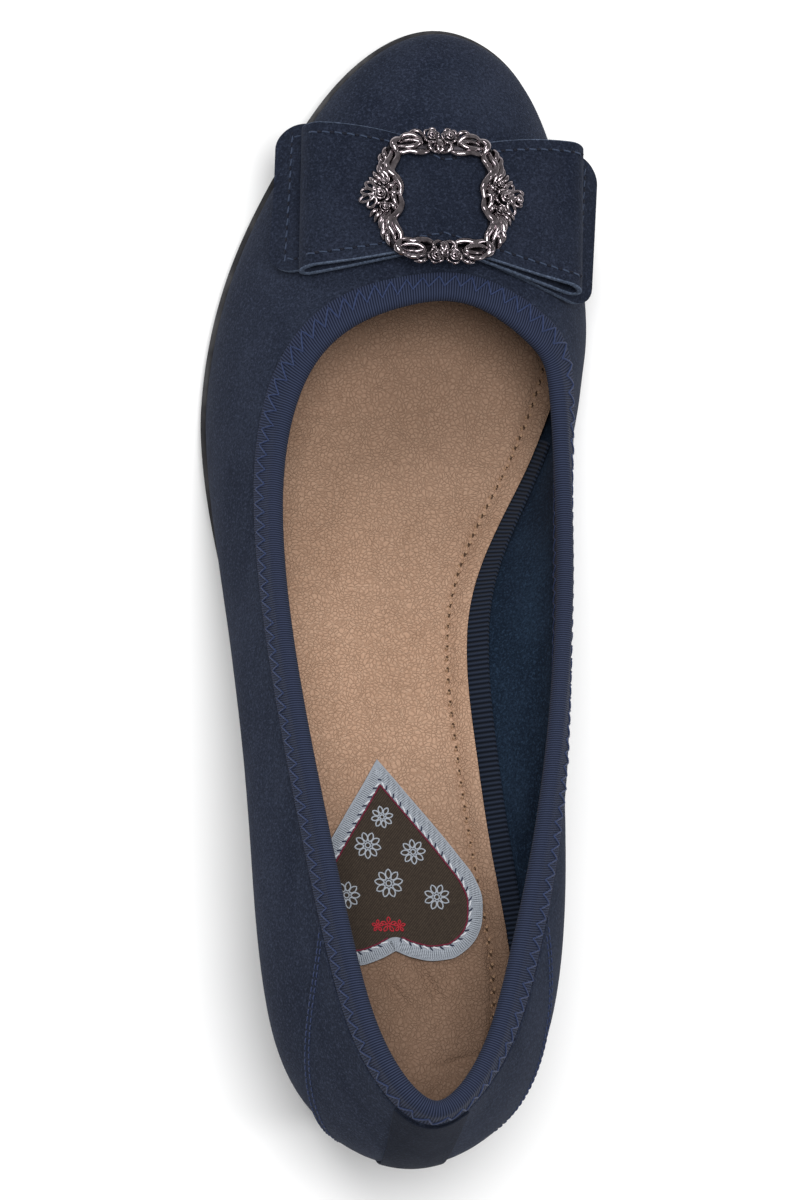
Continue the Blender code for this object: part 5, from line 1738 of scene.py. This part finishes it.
def set_stage():
    """Floor, lights, world and camera."""
    bpy.ops.object.select_all(action="DESELECT")
    bpy.ops.mesh.primitive_plane_add(size=6.0)
    floor = bpy.context.object
    floor.name = "studio_floor"
    floor.data.materials.append(plain_floor())
    world = bpy.data.worlds.new("studio")
    bpy.context.scene.world = world
    world.use_nodes = True
    background = world.node_tree.nodes["Background"].inputs
    background["Color"].default_value = (1, 1, 1, 1)
    background["Strength"].default_value = WORLD_LIGHT
    for row in LIGHTS:
        area_light(*row)
    side, back = (math.tan(math.radians(angle)) for angle in (CAMERA_SIDE, CAMERA_BACK))
    away = Vector((-side, -back, 1)).normalized()
    right = (-away).cross(Vector((0, 1, 0))).normalized()
    up = right.cross(-away)
    target = Vector(CAMERA_TARGET)
    bpy.ops.object.camera_add(location=target + away * CAMERA_AWAY)
    camera = bpy.context.object
    camera.name = "camera"
    camera.rotation_euler = Matrix((right, up, away)).transposed().to_euler()
    camera.data.sensor_fit = "VERTICAL"
    camera.data.sensor_height = SENSOR
    camera.data.lens = PIXELS_PER_METRE * CAMERA_AWAY / IMAGE_HEIGHT * SENSOR
    camera.data.clip_end = 20
    bpy.context.scene.camera = camera
    bpy.context.scene.view_settings.view_transform = "Standard"


# Operators, one for each piece or group of like pieces
class AddUpper(bpy.types.Operator):
    """Makes the suede wall and its lining"""

    bl_idname = "pump.upper"
    bl_label = "Upper"
    bl_options = {"REGISTER", "UNDO"}

    def execute(self, context):
        dress_upper()
        return {"FINISHED"}


class AddTopline(bpy.types.Operator):
    """Makes the elastic topline and its zigzag"""

    bl_idname = "pump.topline"
    bl_label = "Topline"
    bl_options = {"REGISTER", "UNDO"}

    def execute(self, context):
        dress_binding()
        return {"FINISHED"}


class AddRear(bpy.types.Operator):
    """Makes the rear panel with its stitches, and the back strip"""

    bl_idname = "pump.rear"
    bl_label = "Rear panel"
    bl_options = {"REGISTER", "UNDO"}

    def execute(self, context):
        dress_rear()
        return {"FINISHED"}


class AddSole(bpy.types.Operator):
    """Makes the outsole, the covered heel and its lift"""

    bl_idname = "pump.sole"
    bl_label = "Sole and heel"
    bl_options = {"REGISTER", "UNDO"}

    def execute(self, context):
        dress_sole()
        return {"FINISHED"}


class AddInsole(bpy.types.Operator):
    """Makes the leather insole and its stitched border"""

    bl_idname = "pump.insole"
    bl_label = "Insole"
    bl_options = {"REGISTER", "UNDO"}

    def execute(self, context):
        dress_insole()
        return {"FINISHED"}


class AddTape(bpy.types.Operator):
    """Makes the grosgrain tape beside the insole"""

    bl_idname = "pump.tape"
    bl_label = "Tape"
    bl_options = {"REGISTER", "UNDO"}

    def execute(self, context):
        dress_tape()
        return {"FINISHED"}


class AddPatch(bpy.types.Operator):
    """Makes the cloth heart on the insole"""

    bl_idname = "pump.patch"
    bl_label = "Heart patch"
    bl_options = {"REGISTER", "UNDO"}

    def execute(self, context):
        dress_patch()
        return {"FINISHED"}


class AddBow(bpy.types.Operator):
    """Makes the bow and its stitches"""

    bl_idname = "pump.bow"
    bl_label = "Bow"
    bl_options = {"REGISTER", "UNDO"}

    def execute(self, context):
        dress_bow()
        return {"FINISHED"}


class AddBuckle(bpy.types.Operator):
    """Makes the ornamental buckle"""

    bl_idname = "pump.buckle"
    bl_label = "Buckle"
    bl_options = {"REGISTER", "UNDO"}

    def execute(self, context):
        dress_buckle()
        return {"FINISHED"}


class AddStage(bpy.types.Operator):
    """Sets floor, lights and camera"""

    bl_idname = "pump.stage"
    bl_label = "Stage"
    bl_options = {"REGISTER", "UNDO"}

    def execute(self, context):
        set_stage()
        return {"FINISHED"}


OPERATORS = (
    AddUpper, AddTopline, AddRear, AddSole, AddInsole, AddTape, AddPatch, AddBow, AddBuckle, AddStage,
)


class PumpPanel(bpy.types.Panel):
    """Buttons for each piece in the sidebar."""

    bl_idname = "PUMP_PT_panel"
    bl_label = "Dirndl pump"
    bl_space_type = "VIEW_3D"
    bl_region_type = "UI"
    bl_category = "Pump"

    def draw(self, context):
        for name in PumpColours.__annotations__:
            self.layout.prop(context.scene.pump_colours, name)
        for name in PumpSizes.__annotations__:
            self.layout.prop(context.scene.pump_sizes, name)
        for kind in OPERATORS:
            self.layout.operator(kind.bl_idname)


CLASSES = (PumpColours, PumpSizes, *OPERATORS, PumpPanel)


def register():
    """Adds the settings, operators and panel."""
    for kind in CLASSES:
        bpy.utils.register_class(kind)
    bpy.types.Scene.pump_colours = bpy.props.PointerProperty(type=PumpColours)
    bpy.types.Scene.pump_sizes = bpy.props.PointerProperty(type=PumpSizes)


def unregister():
    """Removes them."""
    del bpy.types.Scene.pump_sizes
    del bpy.types.Scene.pump_colours
    for kind in reversed(CLASSES):
        bpy.utils.unregister_class(kind)


def main():
    """Dresses the pump piece by piece."""
    register()
    bpy.ops.pump.upper()
    bpy.ops.pump.topline()
    bpy.ops.pump.rear()
    bpy.ops.pump.sole()
    bpy.ops.pump.insole()
    bpy.ops.pump.tape()
    bpy.ops.pump.patch()
    bpy.ops.pump.bow()
    bpy.ops.pump.buckle()
    bpy.ops.pump.stage()


if __name__ == "__main__":
    main()
